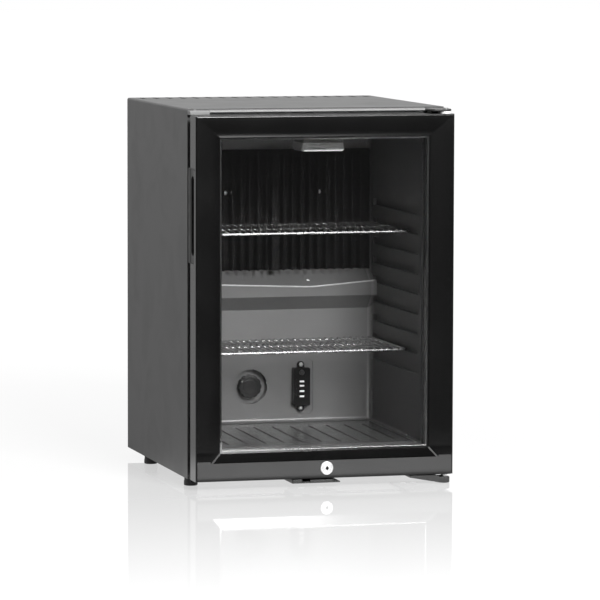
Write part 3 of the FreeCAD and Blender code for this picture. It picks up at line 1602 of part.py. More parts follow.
def make_drain_tube():
    """Tube from the gutter's drain hole through the foam to the tray behind."""
    heading = drain_heading()
    start = drain_start() + heading * liner_wall
    elbow = start + heading * ((cooling_tube_place_y - start.y) / heading.y)
    x = start.x
    end = tray_bottom() + tray_height - drain_outlet_margin
    route = [start, elbow, V(x, cooling_tube_place_y, drain_wall_height), V(x, drain_outside_y, drain_wall_height),
             V(x, drain_outside_y, end)]
    return bent_tube(route, drain_bend, drain_radius)


def tray_bottom():
    """The tray rests on the receiver."""
    return receiver_height + receiver_radius + seat_gap


def make_drip_tray():
    """Open tray on the warm receiver, where the defrost water dries off."""
    low = tray_bottom()
    front = unit_place_y - tray_width / 2
    outer = bevelled_block(tray_left, tray_left + tray_length, front, front + tray_width, low, low + tray_height,
                           Z_AXIS, tray_corner)
    inner = bevelled_block(tray_left + tray_wall, tray_left + tray_length - tray_wall, front + tray_wall,
                           front + tray_width - tray_wall, low + tray_wall, low + tray_height + overrun,
                           Z_AXIS, tray_corner - tray_wall / 2)
    return outer.cut(inner)


def make_terminal_box():
    """Terminal box below the boiler."""
    x = boiler_x()
    return bevelled_block(x - terminal_width / 2, x + terminal_width / 2, unit_front, unit_front + terminal_depth,
                          terminal_bottom, terminal_bottom + terminal_height, Y_AXIS, terminal_edge)


def make_cord_inlet():
    """Round inlet in the back of the terminal box."""
    centre = V(boiler_x(), unit_front + terminal_depth, terminal_bottom + terminal_height / 2)
    body = turned(inlet_radius, centre, Y_AXIS, inlet_length)
    return body.cut(peg(inlet_bore_radius, centre, Y_AXIS, inlet_length + overrun))


# Assembly
def screw_shanks():
    """The room of every screw shank that goes into the cabinet."""
    shanks = [peg(hinge_screw_radius, seat, Y_AXIS, hinge_screw_length) for seat in upper_screw_seats()]
    seats = lower_screw_seats() + striker_screw_seats()
    return shanks + [peg(hinge_screw_radius, seat, Z_AXIS, hinge_screw_length) for seat in seats]


def liner_screw_holes():
    """Holes in the liner for the cooling plate's and the module's screws."""
    holes = [screw_hole(seat) for seat in module_screw_seats()]
    return holes + [screw_hole(seat) for seat in plate_screw_seats()]


def make_cabinet():
    """Every piece of the cabinet and its cooling unit, by name."""
    shanks = screw_shanks()
    thermostat = make_thermostat_body()
    drain = make_drain_tube()
    cooling_tube = make_cooling_tube()
    receiver = make_receiver_vessel()
    condenser = make_condenser()
    inner_screws = [make_cooling_plate_screws(), make_indicator_screws()]
    pieces = {
        "cabinet_shell": make_cabinet_shell().cut(shanks),
        "base_pan": make_base_pan().cut(shanks),
        "top_front_trim": make_top_front_trim(),
        "spare_hinge_cap": make_spare_hinge_cap(),
        "liner": make_liner().cut(liner_screw_holes()),
        "foam_insulation": make_insulation([thermostat, drain, cooling_tube] + shanks),
        "rear_panel": make_rear_panel([drain, cooling_tube]),
        "cabinet_feet": make_feet(),
        "cooling_plate": make_cooling_plate().cut(inner_screws),
        "cooling_plate_screws": inner_screws[0],
        "lamp_housing": make_lamp_housing(),
        "lamp_board": make_lamp_board(),
        "lamp_lens": make_lamp_lens(),
        "indicator_housing": make_indicator_housing(),
        "indicator_lights": make_indicator_lights(),
        "indicator_screws": inner_screws[1],
        "thermostat_body": thermostat,
        "drain_tube": drain,
        "upper_hinge_bracket": make_upper_hinge_bracket(),
        "lower_hinge_bracket": make_lower_hinge_bracket(),
        "hinge_pins": Part.makeCompound([make_upper_hinge_pin(), make_lower_hinge_pin()]),
        "hinge_foot": make_hinge_foot(),
        "bracket_screws": make_bracket_screws(),
        "lock_striker": make_lock_striker(),
        "striker_wing": make_striker_wing(),
        "cooling_tube": cooling_tube,
        "condenser_pipe": condenser,
        "condenser_fins": make_condenser_fins(condenser),
        "absorber_coil": make_absorber_coil(receiver),
        "receiver_vessel": receiver,
        "return_pipe": make_return_pipe(),
        "boiler_housing": make_boiler_housing(),
        "unit_brackets": make_unit_brackets(),
        "drip_tray": make_drip_tray(),
        "terminal_box": make_terminal_box(),
        "cord_inlet": make_cord_inlet(),
    }
    return pieces


def make_door():
    """Every piece of the door, by name."""
    cover = make_bottom_rail_cover()
    top_pocket = bush_pocket(door_top, -1)
    bottom_pocket = bush_pocket(door_bottom, 1)
    lock_hole = peg(lock_barrel_radius, lock_point(door_front - overrun), Y_AXIS, overrun + lock_barrel_length)
    pieces = {
        "door_stile_left": make_stile(-1).cut(cover),
        "door_stile_right": make_stile(1).cut([cover, top_pocket, bottom_pocket]),
        "door_top_rail": make_rail(door_top, window_top, top_rail_width, frame_edge_radius).cut(top_pocket),
        "door_bottom_rail": make_rail(door_bottom, window_bottom, bottom_rail_width, bottom_edge_radius).cut(
            [cover, bottom_pocket, lock_hole, cam_room()]),
        "bottom_rail_cover": cover.cut([lock_hole, bottom_pocket, flange_room()]),
        "glass_front": make_pane(pane_front, spacer_front),
        "glass_spacer": make_glass_spacer(),
        "glass_rear": make_pane(rear_pane_front, bead_front),
        "glazing_bead": make_glazing_bead(),
        "door_gasket": make_door_gasket(),
        "side_grip_left": make_side_grip(-1),
        "side_grip_right": make_side_grip(1),
        "door_bushes": Part.makeCompound([
            make_door_bush(door_top, -1, upper_arm_bottom - door_top - seat_gap),
            make_door_bush(door_bottom, 1, lower_bush_flange_height)]),
        "lock_barrel": make_lock_barrel(),
    }
    return pieces


def make_moving_fittings():
    """The small pieces that move by themselves, by name."""
    forward = V(0, upper_shelf_rear - shelf_rear - shelf_frame_radius, 0)
    return {
        "lock_plug": make_lock_plug(),
        "lock_cam": make_lock_cam(),
        "thermostat_dial": make_thermostat_dial(),
        "thermostat_spindle": make_thermostat_spindle(),
        "indicator_button": make_indicator_button(),
        "shelf_upper": make_shelf_frame(upper_shelf_step).translated(forward),
        "shelf_upper_wires": make_shelf_wires(upper_shelf_step).translated(forward),
        "shelf_lower": make_shelf_frame(lower_shelf_step),
        "shelf_lower_wires": make_shelf_wires(lower_shelf_step),
    }


os.makedirs("parts", exist_ok=True)
middle = V(0, -(lock_face + cabinet_depth) / 2, 0)
for group in (make_cabinet(), make_door(), make_moving_fittings()):
    for name, shape in group.items():
        moved = shape.copy()
        moved.translate(middle)
        moved.exportStep("parts/" + name + ".step")
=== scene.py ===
"""Looks of a glass-door bar fridge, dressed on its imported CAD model.

Metres, X to the right, Y to the back, Z up, as in the frame. The cabinet, the door and the fittings keep
their CAD solids with softened edges and procedural finishes. Round, wound and rubber pieces are made here as
meshes and stand for their CAD nodes.
"""

import logging
import math
from collections.abc import Callable
from dataclasses import dataclass, field
from enum import Enum

import bmesh
import bpy
from mathutils import Matrix, Vector


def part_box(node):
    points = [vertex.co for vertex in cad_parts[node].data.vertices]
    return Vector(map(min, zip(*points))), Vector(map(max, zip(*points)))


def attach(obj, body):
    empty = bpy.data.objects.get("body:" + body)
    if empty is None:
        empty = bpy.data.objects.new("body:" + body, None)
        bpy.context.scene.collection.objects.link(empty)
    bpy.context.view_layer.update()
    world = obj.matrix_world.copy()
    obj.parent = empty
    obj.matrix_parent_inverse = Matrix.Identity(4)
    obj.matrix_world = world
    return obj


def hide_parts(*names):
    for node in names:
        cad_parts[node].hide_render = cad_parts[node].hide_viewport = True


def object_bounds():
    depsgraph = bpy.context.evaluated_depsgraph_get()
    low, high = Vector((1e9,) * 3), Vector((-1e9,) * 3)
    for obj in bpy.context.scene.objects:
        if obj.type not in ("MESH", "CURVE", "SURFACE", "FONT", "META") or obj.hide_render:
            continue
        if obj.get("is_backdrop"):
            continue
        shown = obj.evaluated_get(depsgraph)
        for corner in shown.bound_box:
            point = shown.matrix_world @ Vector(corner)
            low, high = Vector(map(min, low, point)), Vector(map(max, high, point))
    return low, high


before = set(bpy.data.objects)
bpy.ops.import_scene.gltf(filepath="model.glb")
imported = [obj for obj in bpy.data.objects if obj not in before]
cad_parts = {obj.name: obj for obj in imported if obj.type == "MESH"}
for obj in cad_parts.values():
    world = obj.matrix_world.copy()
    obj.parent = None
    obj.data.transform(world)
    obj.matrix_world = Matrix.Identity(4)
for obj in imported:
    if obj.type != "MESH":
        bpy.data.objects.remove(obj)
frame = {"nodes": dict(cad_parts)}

log = logging.getLogger("bar_fridge")

SMALL = 1e-6
X_AXIS, Y_AXIS, Z_AXIS = Vector((1, 0, 0)), Vector((0, 1, 0)), Vector((0, 0, 1))
DOME_STEPS = 3
DOME_DEPTH = 0.6
DOME_FLAT = 0.4
GRAIN_SOFTNESS = 0.4

Socket = bpy.types.NodeSocket
Outputs = bpy.types.bpy_prop_collection
Mesh = bmesh.types.BMesh
Ring = list[bmesh.types.BMVert]
Points = list[tuple[float, float]]


class Slot(Enum):
    """Material slots of the record that the finishes are made for."""

    CABINET = "cabinet_paint"
    TRIM = "trim_grey"
    GALVANISED = "galvanised"
    LINER = "liner_plastic"
    FOAM = "foam"
    FOOT = "foot_black"
    PLATE = "plate_black"
    SCREW = "screw_steel"
    LAMP_COVER = "lamp_diffuser"
    LAMP_BASE = "lamp_base"
    BOARD = "board_green"
    MODULE = "module_black"
    DIAL = "dial_grey"
    BUTTON = "button_black"
    LIGHT = "indicator_light"
    NYLON = "nylon_white"
    BRACKET = "bracket_black"
    UNIT = "unit_black"
    FIN = "fin_steel"
    FRAME = "frame_black"
    COVER = "cover_grey"
    GLASS = "clear_glass"
    SPACER = "spacer_metal"
    BEAD = "bead_black"
    GASKET = "gasket_rubber"
    GRIP = "grip_black"
    CHROME_LOCK = "lock_chrome"
    CHROME_WIRE = "chrome_wire"


class Surface(Enum):
    """Grains in a metre of a painted, moulded or sparked surface."""

    ORANGE_PEEL = 420.0
    MOULDED = 1500.0
    SPARKED = 2600.0


class Effect(Enum):
    """Shader node groups that several finishes share."""

    CLOUDS = "cloudiness"
    GRAIN = "fine_grain"
    DUST = "settled_dust"
    MARKS = "hand_marks"
    DRAWN = "drawn_metal"


def grey(level: float) -> tuple[float, float, float, float]:
    """Give the colour that a screen shows at a level.

    Args:
        level: Grey level from 0 to 255.

    Returns:
        Linear red, green, blue and alpha.
    """
    share = level / 255
    linear = share / 12.92 if share <= 0.04045 else ((share + 0.055) / 1.055) ** 2.4
    return (linear, linear, linear, 1.0)


class NodeSheet:
    """A node tree, with short calls to add nodes and join them."""

    def __init__(self, tree: bpy.types.NodeTree) -> None:
        """Keep the tree and clear it."""
        self.tree = tree
        self.tree.nodes.clear()

    def add(self, kind: str, values: dict[str | int, object] | None = None, **settings: object) -> Outputs:
        """Add a node.

        Args:
            kind: Blender's name of the node type.
            values: Inputs by name or place, each with a value or the output that feeds it.
            **settings: Properties of the node.

        Returns:
            Its outputs.
        """
        node = self.tree.nodes.new(kind)
        for name, value in settings.items():
            setattr(node, name, value)
        for name, value in (values or {}).items():
            if isinstance(value, Socket):
                self.tree.links.new(value, node.inputs[name])
            else:
                node.inputs[name].default_value = value
        return node.outputs

    def math(self, operation: str, first: object, second: object = 0.0, clamp: bool = False) -> Socket:
        """Add a Math node.

        Args:
            operation: Its operation.
            first: First value or socket.
            second: Second value or socket.
            clamp: Whether the result stays between 0 and 1.

        Returns:
            Its output.
        """
        return self.add("ShaderNodeMath", {0: first, 1: second}, operation=operation, use_clamp=clamp)[0]

    def spread(self, value: object, low: float, high: float, to_low: object = 0.0,
               to_high: object = 1.0) -> Socket:
        """Add a clamped Map Range node.

        Args:
            value: What is mapped.
            low: Value that gives to_low.
            high: Value that gives to_high.
            to_low: First result.
            to_high: Last result.

        Returns:
            Its output.
        """
        return self.add("ShaderNodeMapRange", {"Value": value, "From Min": low, "From Max": high,
                                               "To Min": to_low, "To Max": to_high})["Result"]

    def blend(self, share: object, first: object, second: object) -> Socket:
        """Add a Mix node for colours.

        Args:
            share: How much of the second colour shows.
            first: First colour.
            second: Second colour.

        Returns:
            The mixed colour.
        """
        return self.add("ShaderNodeMix", {0: share, 6: first, 7: second}, data_type="RGBA")[2]

    def blend_shaders(self, share: object, first: Socket, second: Socket) -> Socket:
        """Add a Mix Shader node.

        Args:
            share: How much of the second shader shows.
            first: First shader.
            second: Second shader.

        Returns:
            The mixed shader.
        """
        return self.add("ShaderNodeMixShader", {0: share, 1: first, 2: second})[0]

    def place(self) -> Socket:
        """Give the place on the object."""
        return self.add("ShaderNodeTexCoord")["Object"]

    def axes(self) -> Outputs:
        """Give X, Y and Z of the place on the object."""
        return self.add("ShaderNodeSeparateXYZ", {"Vector": self.place()})

    def noise(self, **values: object) -> Socket:
        """Give soft noise that sits on the object, with these inputs."""
        return self.add("ShaderNodeTexNoise", {"Vector": self.place(), **values})["Fac"]

    def brightened(self, colour: Socket, lift: Socket) -> Socket:
        """Give a colour that is brighter by a share."""
        factor = self.math("ADD", lift, 1.0)
        return self.add("ShaderNodeVectorMath", {0: colour, "Scale": factor}, operation="SCALE")[0]

    def effect(self, effect: Effect, **values: object) -> Outputs:
        """Add a shared node group with these inputs."""
        return self.add("ShaderNodeGroup", values, node_tree=bpy.data.node_groups[effect.value])

    def clouds(self, colour: object, contrast: float, scale: float) -> Socket:
        """Give a colour with slow changes of tone."""
        return self.effect(Effect.CLOUDS, Colour=colour, Contrast=contrast, Scale=scale)["Colour"]

    def marks(self, roughness: object, amount: float, scale: float) -> Socket:
        """Give a roughness that hands have changed."""
        return self.effect(Effect.MARKS, Roughness=roughness, Amount=amount, Scale=scale)["Roughness"]

    def grain(self, surface: Surface) -> Socket:
        """Give the height of a grained surface."""
        return self.effect(Effect.GRAIN, Scale=surface.value, Softness=GRAIN_SOFTNESS)["Height"]

    def bump(self, height: Socket, relief: float) -> Socket:
        """Give the normal of a surface with this height."""
        return self.add("ShaderNodeBump", {"Height": height, "Distance": relief})["Normal"]

    def principled(self, values: dict[str, object]) -> Socket:
        """Add a Principled shader with these inputs."""
        return self.add("ShaderNodeBsdfPrincipled", values)["BSDF"]

    def mirrored(self, path: Outputs) -> Socket:
        """Tell whether a ray has left a mirror or a pane."""
        return self.math("MAXIMUM", path["Is Glossy Ray"], path["Is Transmission Ray"])


def new_material(name: str) -> tuple[bpy.types.Material, NodeSheet]:
    """Make a material and the sheet for its nodes."""
    material = bpy.data.materials.new(name)
    material.use_nodes = True
    return material, NodeSheet(material.node_tree)


Fill = Callable[[NodeSheet, Outputs], dict[str, Socket]]


@dataclass(frozen=True)
class EffectGroups:
    """Makes the shared node groups.

    Attributes:
        cloud_edges: Noise at which a cloud is darkest and lightest.
        dust_facing: How far up a face looks where dust sets in and where all of it stays.
        dust_edges: Noise at which dust is thinnest and thickest.
        dust_least: Share of the dust where it is thinnest.
        dust_level: Grey level of dust.
        dust_roughness: How much dust adds to the roughness.
        smear_edges: Noise at which a smear sets in and is full.
        smear_bend: How far smears are drawn out of shape.
        line_scale: Drawing lines in a metre along X, Y and Z.
    """

    cloud_edges: tuple[float, float] = (0.32, 0.68)
    dust_facing: tuple[float, float] = (0.55, 0.98)
    dust_edges: tuple[float, float] = (0.35, 0.75)
    dust_least: float = 0.35
    dust_level: float = 150
    dust_roughness: float = 0.35
    smear_edges: tuple[float, float] = (0.45, 0.7)
    smear_bend: float = 1.2
    line_scale: tuple[float, float, float] = (900.0, 900.0, 30.0)

    def build(self) -> None:
        """Make every group once."""
        self._group(Effect.CLOUDS, self._clouds, ("Colour", "Contrast", "Scale"), ("Colour",))
        self._group(Effect.GRAIN, self._grain, ("Scale", "Softness"), ("Height",))
        self._group(Effect.DUST, self._dust, ("Colour", "Roughness", "Amount", "Scale"),
                    ("Colour", "Roughness"))
        self._group(Effect.MARKS, self._marks, ("Roughness", "Amount", "Scale"), ("Roughness",))
        self._group(Effect.DRAWN, self._drawn, ("Colour", "Spangle", "Scale"), ("Colour", "Height"))

    @staticmethod
    def _group(effect: Effect, fill: Fill, inputs: tuple[str, ...], outputs: tuple[str, ...]) -> None:
        """Make one group.

        Args:
            effect: Which group it is.
            fill: Adds its nodes to a sheet and gives its results by output.
            inputs: Names of its inputs. Colour is a colour, the others are numbers.
            outputs: Names of its outputs.
        """
        tree = bpy.data.node_groups.new(effect.value, "ShaderNodeTree")
        for side, labels in (("INPUT", inputs), ("OUTPUT", outputs)):
            for label in labels:
                kind = "NodeSocketColor" if label == "Colour" else "NodeSocketFloat"
                tree.interface.new_socket(name=label, in_out=side, socket_type=kind)
        sheet = NodeSheet(tree)
        sheet.add("NodeGroupOutput", fill(sheet, sheet.add("NodeGroupInput")))

    def _clouds(self, sheet: NodeSheet, given: Outputs) -> dict[str, Socket]:
        """Slow changes of tone, as in paint and moulded plastic."""
        mask = sheet.spread(sheet.noise(Scale=given["Scale"], Detail=4.0), *self.cloud_edges)
        lift = sheet.math("MULTIPLY", given["Contrast"], sheet.math("SUBTRACT", mask, 0.5))
        return {"Colour": sheet.brightened(given["Colour"], lift)}

    def _grain(self, sheet: NodeSheet, given: Outputs) -> dict[str, Socket]:
        """Height of a moulded, sprayed or sparked surface."""
        noise = sheet.noise(Scale=given["Scale"], Detail=2.0)
        cells = sheet.add("ShaderNodeTexVoronoi", {"Vector": sheet.place(), "Scale": given["Scale"]},
                          feature="SMOOTH_F1")
        mixed = sheet.add("ShaderNodeMix", {0: given["Softness"], 2: noise, 3: cells["Distance"]},
                          data_type="FLOAT")
        return {"Height": mixed[0]}

    def _dust(self, sheet: NodeSheet, given: Outputs) -> dict[str, Socket]:
        """Thin dust on what faces up."""
        normal = sheet.add("ShaderNodeNewGeometry")["Normal"]
        upward = sheet.spread(sheet.add("ShaderNodeSeparateXYZ", {"Vector": normal})["Z"], *self.dust_facing)
        noise = sheet.noise(Scale=given["Scale"], Detail=6.0)
        patch = sheet.spread(noise, *self.dust_edges, self.dust_least, 1.0)
        share = sheet.math("MULTIPLY", sheet.math("MULTIPLY", upward, patch), given["Amount"], clamp=True)
        added = sheet.math("MULTIPLY", share, self.dust_roughness)
        return {"Colour": sheet.blend(share, given["Colour"], grey(self.dust_level)),
                "Roughness": sheet.math("ADD", given["Roughness"], added, clamp=True)}

    def _marks(self, sheet: NodeSheet, given: Outputs) -> dict[str, Socket]:
        """Faint smears that change how a glossy surface shines."""
        noise = sheet.noise(Scale=given["Scale"], Detail=5.0, Distortion=self.smear_bend)
        change = sheet.math("MULTIPLY", sheet.spread(noise, *self.smear_edges), given["Amount"])
        return {"Roughness": sheet.math("ADD", given["Roughness"], change, clamp=True)}

    def _drawn(self, sheet: NodeSheet, given: Outputs) -> dict[str, Socket]:
        """Fine lines along Z and spangle, as on drawn and plated steel."""
        lines = sheet.add("ShaderNodeMapping", {"Vector": sheet.place(), "Scale": self.line_scale})
        noise = sheet.add("ShaderNodeTexNoise", {"Vector": lines["Vector"], "Scale": 1.0})
        flakes = sheet.add("ShaderNodeTexVoronoi", {"Vector": sheet.place(), "Scale": given["Scale"]})
        tone = sheet.add("ShaderNodeRGBToBW", {"Color": flakes["Color"]})[0]
        lift = sheet.math("MULTIPLY", sheet.math("SUBTRACT", tone, 0.5), given["Spangle"])
        return {"Colour": sheet.brightened(given["Colour"], lift), "Height": noise["Fac"]}


@dataclass(frozen=True)
class SlotFinish:
    """A finish for one material slot.

    Attributes:
        slot: The record's material slot.
    """

    slot: Slot

    def build(self) -> bpy.types.Material:
        """Make the material."""
        material, sheet = new_material("finish_" + self.slot.value)
        sheet.add("ShaderNodeOutputMaterial", {"Surface": self.shade(sheet)})
        return material

    def shade(self, sheet: NodeSheet) -> Socket:
        """Add the finish's nodes to a sheet and give the shader's output."""
        raise NotImplementedError


@dataclass(frozen=True)
class Finish(SlotFinish):
    """A painted, moulded or rubber surface.

    Attributes:
        level: Grey level of its colour, 0 to 255.
        roughness: Roughness of the clean surface.
        surface: How fine its texture is.
        relief: Depth of the texture, in metres.
        contrast: Share by which its tone changes slowly.
        scale: Patches of tone in a metre.
        dust: How much dust lies on what faces up.
        marks: How much hands have changed its gloss.
        shine: Specular level of the surface.
        mark_share: Smears in a metre, as a share of the patches.
        dust_scale: Patches of dust in a metre.
    """

    level: float
    roughness: float
    surface: Surface
    relief: float
    contrast: float
    scale: float
    dust: float = 0.0
    marks: float = 0.05
    shine: float = 0.5
    mark_share: float = 1.7
    dust_scale: float = 14.0

    def shade(self, sheet: NodeSheet) -> Socket:
        """Add the finish's nodes to a sheet and give the shader's output."""
        colour = sheet.clouds(grey(self.level), self.contrast, self.scale)
        rough = sheet.marks(self.roughness, self.marks, self.scale * self.mark_share)
        if self.dust:
            dusty = sheet.effect(Effect.DUST, Colour=colour, Roughness=rough, Amount=self.dust,
                                 Scale=self.dust_scale)
            colour, rough = dusty["Colour"], dusty["Roughness"]
        return sheet.principled({"Base Color": colour, "Roughness": rough, "Specular IOR Level": self.shine,
                                 "Normal": sheet.bump(sheet.grain(self.surface), self.relief)})


@dataclass(frozen=True)
class LinerFinish(SlotFinish):
    """Vacuum-formed liner: smooth at the back and the floor, finely grained on the side walls. Its side walls
    and floor are painted darker as shade, and a highlight is painted on the gutter's rolled edge.

    Attributes:
        level: Grey level of its colour.
        smooth: Roughness at the back, the floor and the coves.
        grained: Roughness of the side walls.
        wall_place: Distance of the side walls from the middle.
        wall_shade_level: Grey level of the side walls, painted darker than the back as shade.
        floor_place: Height under which the floor lies.
        floor_shade_level: Grey level of the floor, painted darker as shade.
        lip_place: Depth in front of which the drip gutter's rolled edge gets a painted highlight.
        lip_highlight_heights: Heights of that edge's lower and upper side, between which the highlight is
            painted.
        lip_highlight_level: Grey level of the painted highlight on that edge.
        blend_width: Width over which the grain and the side walls' painted shade set in; half of it for the
            floor's painted shade.
        highlight_blend_width: Width over which the painted highlight sets in.
        relief: Depth of the grain.
        clouds: Share by which its tone changes slowly, and patches in a metre.
        marks: How much hands have changed its gloss, and smears in a metre.
    """

    level: float
    smooth: float
    grained: float
    wall_place: float
    wall_shade_level: float
    floor_place: float
    floor_shade_level: float
    lip_place: float
    lip_highlight_heights: tuple[float, float]
    lip_highlight_level: float
    blend_width: float = 0.006
    highlight_blend_width: float = 0.0003
    relief: float = 0.00002
    clouds: tuple[float, float] = (0.05, 5.0)
    marks: tuple[float, float] = (0.01, 9.0)

    def shade(self, sheet: NodeSheet) -> Socket:
        """Add the finish's nodes to a sheet and give the shader's output."""
        place = sheet.axes()
        across = sheet.math("ABSOLUTE", place["X"])
        # side walls and floor take darker levels here: painted shade
        wall = sheet.spread(across, self.wall_place - self.blend_width, self.wall_place)
        floor = sheet.spread(place["Z"], self.floor_place, self.floor_place - self.blend_width / 2)
        sides = sheet.blend(wall, grey(self.level), grey(self.wall_shade_level))
        # painted highlight along the gutter's rolled edge, kept off the side walls
        lip_low, lip_high = self.lip_highlight_heights
        lip = sheet.spread(place["Y"], self.lip_place, self.lip_place - self.highlight_blend_width)
        for low, high in ((lip_low - self.highlight_blend_width, lip_low), (lip_high + self.highlight_blend_width, lip_high)):
            lip = sheet.math("MULTIPLY", lip, sheet.spread(place["Z"], low, high))
        lip = sheet.math("MULTIPLY", lip, sheet.spread(wall, 0.0, 1.0, 1.0, 0.0))
        colour = sheet.blend(lip, sheet.blend(floor, sides, grey(self.floor_shade_level)), grey(self.lip_highlight_level))
        height = sheet.math("MULTIPLY", sheet.grain(Surface.SPARKED), wall)
        rough = sheet.spread(wall, 0.0, 1.0, self.smooth, self.grained)
        return sheet.principled({"Base Color": sheet.clouds(colour, *self.clouds),
                                 "Roughness": sheet.marks(rough, *self.marks),
                                 "Normal": sheet.bump(height, self.relief)})


@dataclass(frozen=True)
class MetalFinish(SlotFinish):
    """A plated or bare metal surface.

    Attributes:
        level: Grey level of its colour, 0 to 255.
        roughness: Roughness of the clean surface.
        spangle: Share by which its flakes differ in tone.
        spangle_scale: Flakes in a metre.
        relief: Depth of its drawing lines, in metres.
        marks: How much hands have changed its gloss.
        mark_scale: Smears in a metre.
    """

    level: float
    roughness: float
    spangle: float
    spangle_scale: float
    relief: float = 0.000004
    marks: float = 0.04
    mark_scale: float = 40.0

    def shade(self, sheet: NodeSheet) -> Socket:
        """Add the finish's nodes to a sheet and give the shader's output."""
        drawn = sheet.effect(Effect.DRAWN, Colour=grey(self.level), Spangle=self.spangle,
                             Scale=self.spangle_scale)
        return sheet.principled({"Base Color": drawn["Colour"], "Metallic": 1.0,
                                 "Roughness": sheet.marks(self.roughness, self.marks, self.mark_scale),
                                 "Normal": sheet.bump(drawn["Height"], self.relief)})


@dataclass(frozen=True)
class GlassFinish(SlotFinish):
    """Clear float glass that lets the studio light through.

    Attributes:
        level: Grey level of its body colour.
        index: Index of refraction.
        haze: Share by which its tone varies, and patches in a metre.
    """

    level: float
    index: float = 1.5
    haze: tuple[float, float] = (0.02, 12.0)

    def shade(self, sheet: NodeSheet) -> Socket:
        """Add the finish's nodes to a sheet and give the shader's output."""
        pane = sheet.principled({"Base Color": sheet.clouds(grey(self.level), *self.haze), "Roughness": 0.0,
                                 "IOR": self.index, "Transmission Weight": 1.0})
        clear = sheet.add("ShaderNodeBsdfTransparent", {"Color": grey(self.level)})["BSDF"]
        path = sheet.add("ShaderNodeLightPath")
        passing = sheet.math("MAXIMUM", path["Is Shadow Ray"], path["Is Diffuse Ray"])
        return sheet.blend_shaders(passing, pane, clear)


@dataclass(frozen=True)
class LampCoverFinish(SlotFinish):
    """Frosted lamp cover with a painted highlight and a painted glow on its lower front edge.

    Attributes:
        node: The CAD node on whose lowest edge the highlight is painted.
        level: Grey level of the cover.
        highlight_level: Grey level of the painted highlight on its lower edge.
        highlight_height: Height of the painted highlight.
        highlight_reach: Distance from the cover's front within which the highlight is painted, and from its
            left side within which it is not.
        glow: Strength of the painted glow on that edge.
        height_share: Share of the height up to which the edge is brightest.
        reach_share: Share of the reach up to which it is brightest.
        roughness: Roughness of its skin.
        clouds: Share by which its tone changes slowly, and patches in a metre.
    """

    node: str
    level: float
    highlight_level: float
    highlight_height: float
    highlight_reach: float
    glow: float
    height_share: float = 0.7
    reach_share: float = 0.6
    roughness: float = 0.3
    clouds: tuple[float, float] = (0.1, 90.0)

    def shade(self, sheet: NodeSheet) -> Socket:
        """Add the finish's nodes to a sheet and give the shader's output."""
        low, _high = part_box(self.node)
        place = sheet.axes()
        height, reach = self.highlight_height, self.highlight_reach
        # painted highlight and painted glow on the cover's lower front edge
        lower = sheet.spread(place["Z"], low[2] + height, low[2] + height * self.height_share)
        front = sheet.spread(place["Y"], low[1] + reach, low[1] + reach * self.reach_share)
        inside = sheet.spread(place["X"], low[0] + reach * self.reach_share, low[0] + reach)
        edge = sheet.math("MULTIPLY", sheet.math("MULTIPLY", lower, front), inside)
        colour = sheet.clouds(sheet.blend(edge, grey(self.level), grey(self.highlight_level)), *self.clouds)
        return sheet.principled({"Base Color": colour, "Roughness": self.roughness,
                                 "Emission Color": sheet.blend(edge, grey(0), grey(255)),
                                 "Emission Strength": self.glow})


@dataclass(frozen=True)
class GradedFinish(SlotFinish):
    """A plastic or metal surface whose tone and polish change evenly along a direction. On the door frame and
    the bottom cover the change of tone is painted shade, on the glass spacer a painted highlight.

    Attributes:
        direction: How much each metre along X, Y and Z counts.
        start: Place of the first tone along it.
        end: Place of the second tone.
        levels: Grey level at the first place and at the second.
        roughness: Roughness at the first place and at the second.
        contrast: Share by which its tone varies.
        metal: How metallic it is, 0 or 1.
        shine: Specular level of the surface.
        scale: Spots of tone, and smears, in a metre.
        marks: How much hands have changed its gloss.
    """

    direction: tuple[float, float, float]
    start: float
    end: float
    levels: tuple[float, float]
    roughness: tuple[float, float]
    contrast: float
    metal: float = 0.0
    shine: float = 0.5
    scale: float = 10.0
    marks: float = 0.03

    def shade(self, sheet: NodeSheet) -> Socket:
        """Add the finish's nodes to a sheet and give the shader's output."""
        along = sheet.add("ShaderNodeVectorMath", {0: sheet.place(), 1: self.direction},
                          operation="DOT_PRODUCT")["Value"]
        share = sheet.spread(along, self.start, self.end)
        colour = sheet.blend(share, *(grey(level) for level in self.levels))
        rough = sheet.spread(share, 0.0, 1.0, *self.roughness)
        return sheet.principled({"Base Color": sheet.clouds(colour, self.contrast, self.scale),
                                 "Roughness": sheet.marks(rough, self.marks, self.scale),
                                 "Metallic": self.metal, "Specular IOR Level": self.shine})


@dataclass(frozen=True)
class GlowFinish(SlotFinish):
    """A moulded plastic that gives light.

    Attributes:
        level: Grey level of its colour.
        glow: Strength of its own light.
        roughness: Roughness of its skin.
        clouds: Share by which its tone varies, and patches in a metre.
    """

    level: float
    glow: float
    roughness: float
    clouds: tuple[float, float] = (0.15, 120.0)

    def shade(self, sheet: NodeSheet) -> Socket:
        """Add the finish's nodes to a sheet and give the shader's output."""
        colour = sheet.clouds(grey(self.level), *self.clouds)
        return sheet.principled({"Base Color": colour, "Roughness": self.roughness, "Emission Color": colour,
                                 "Emission Strength": self.glow})


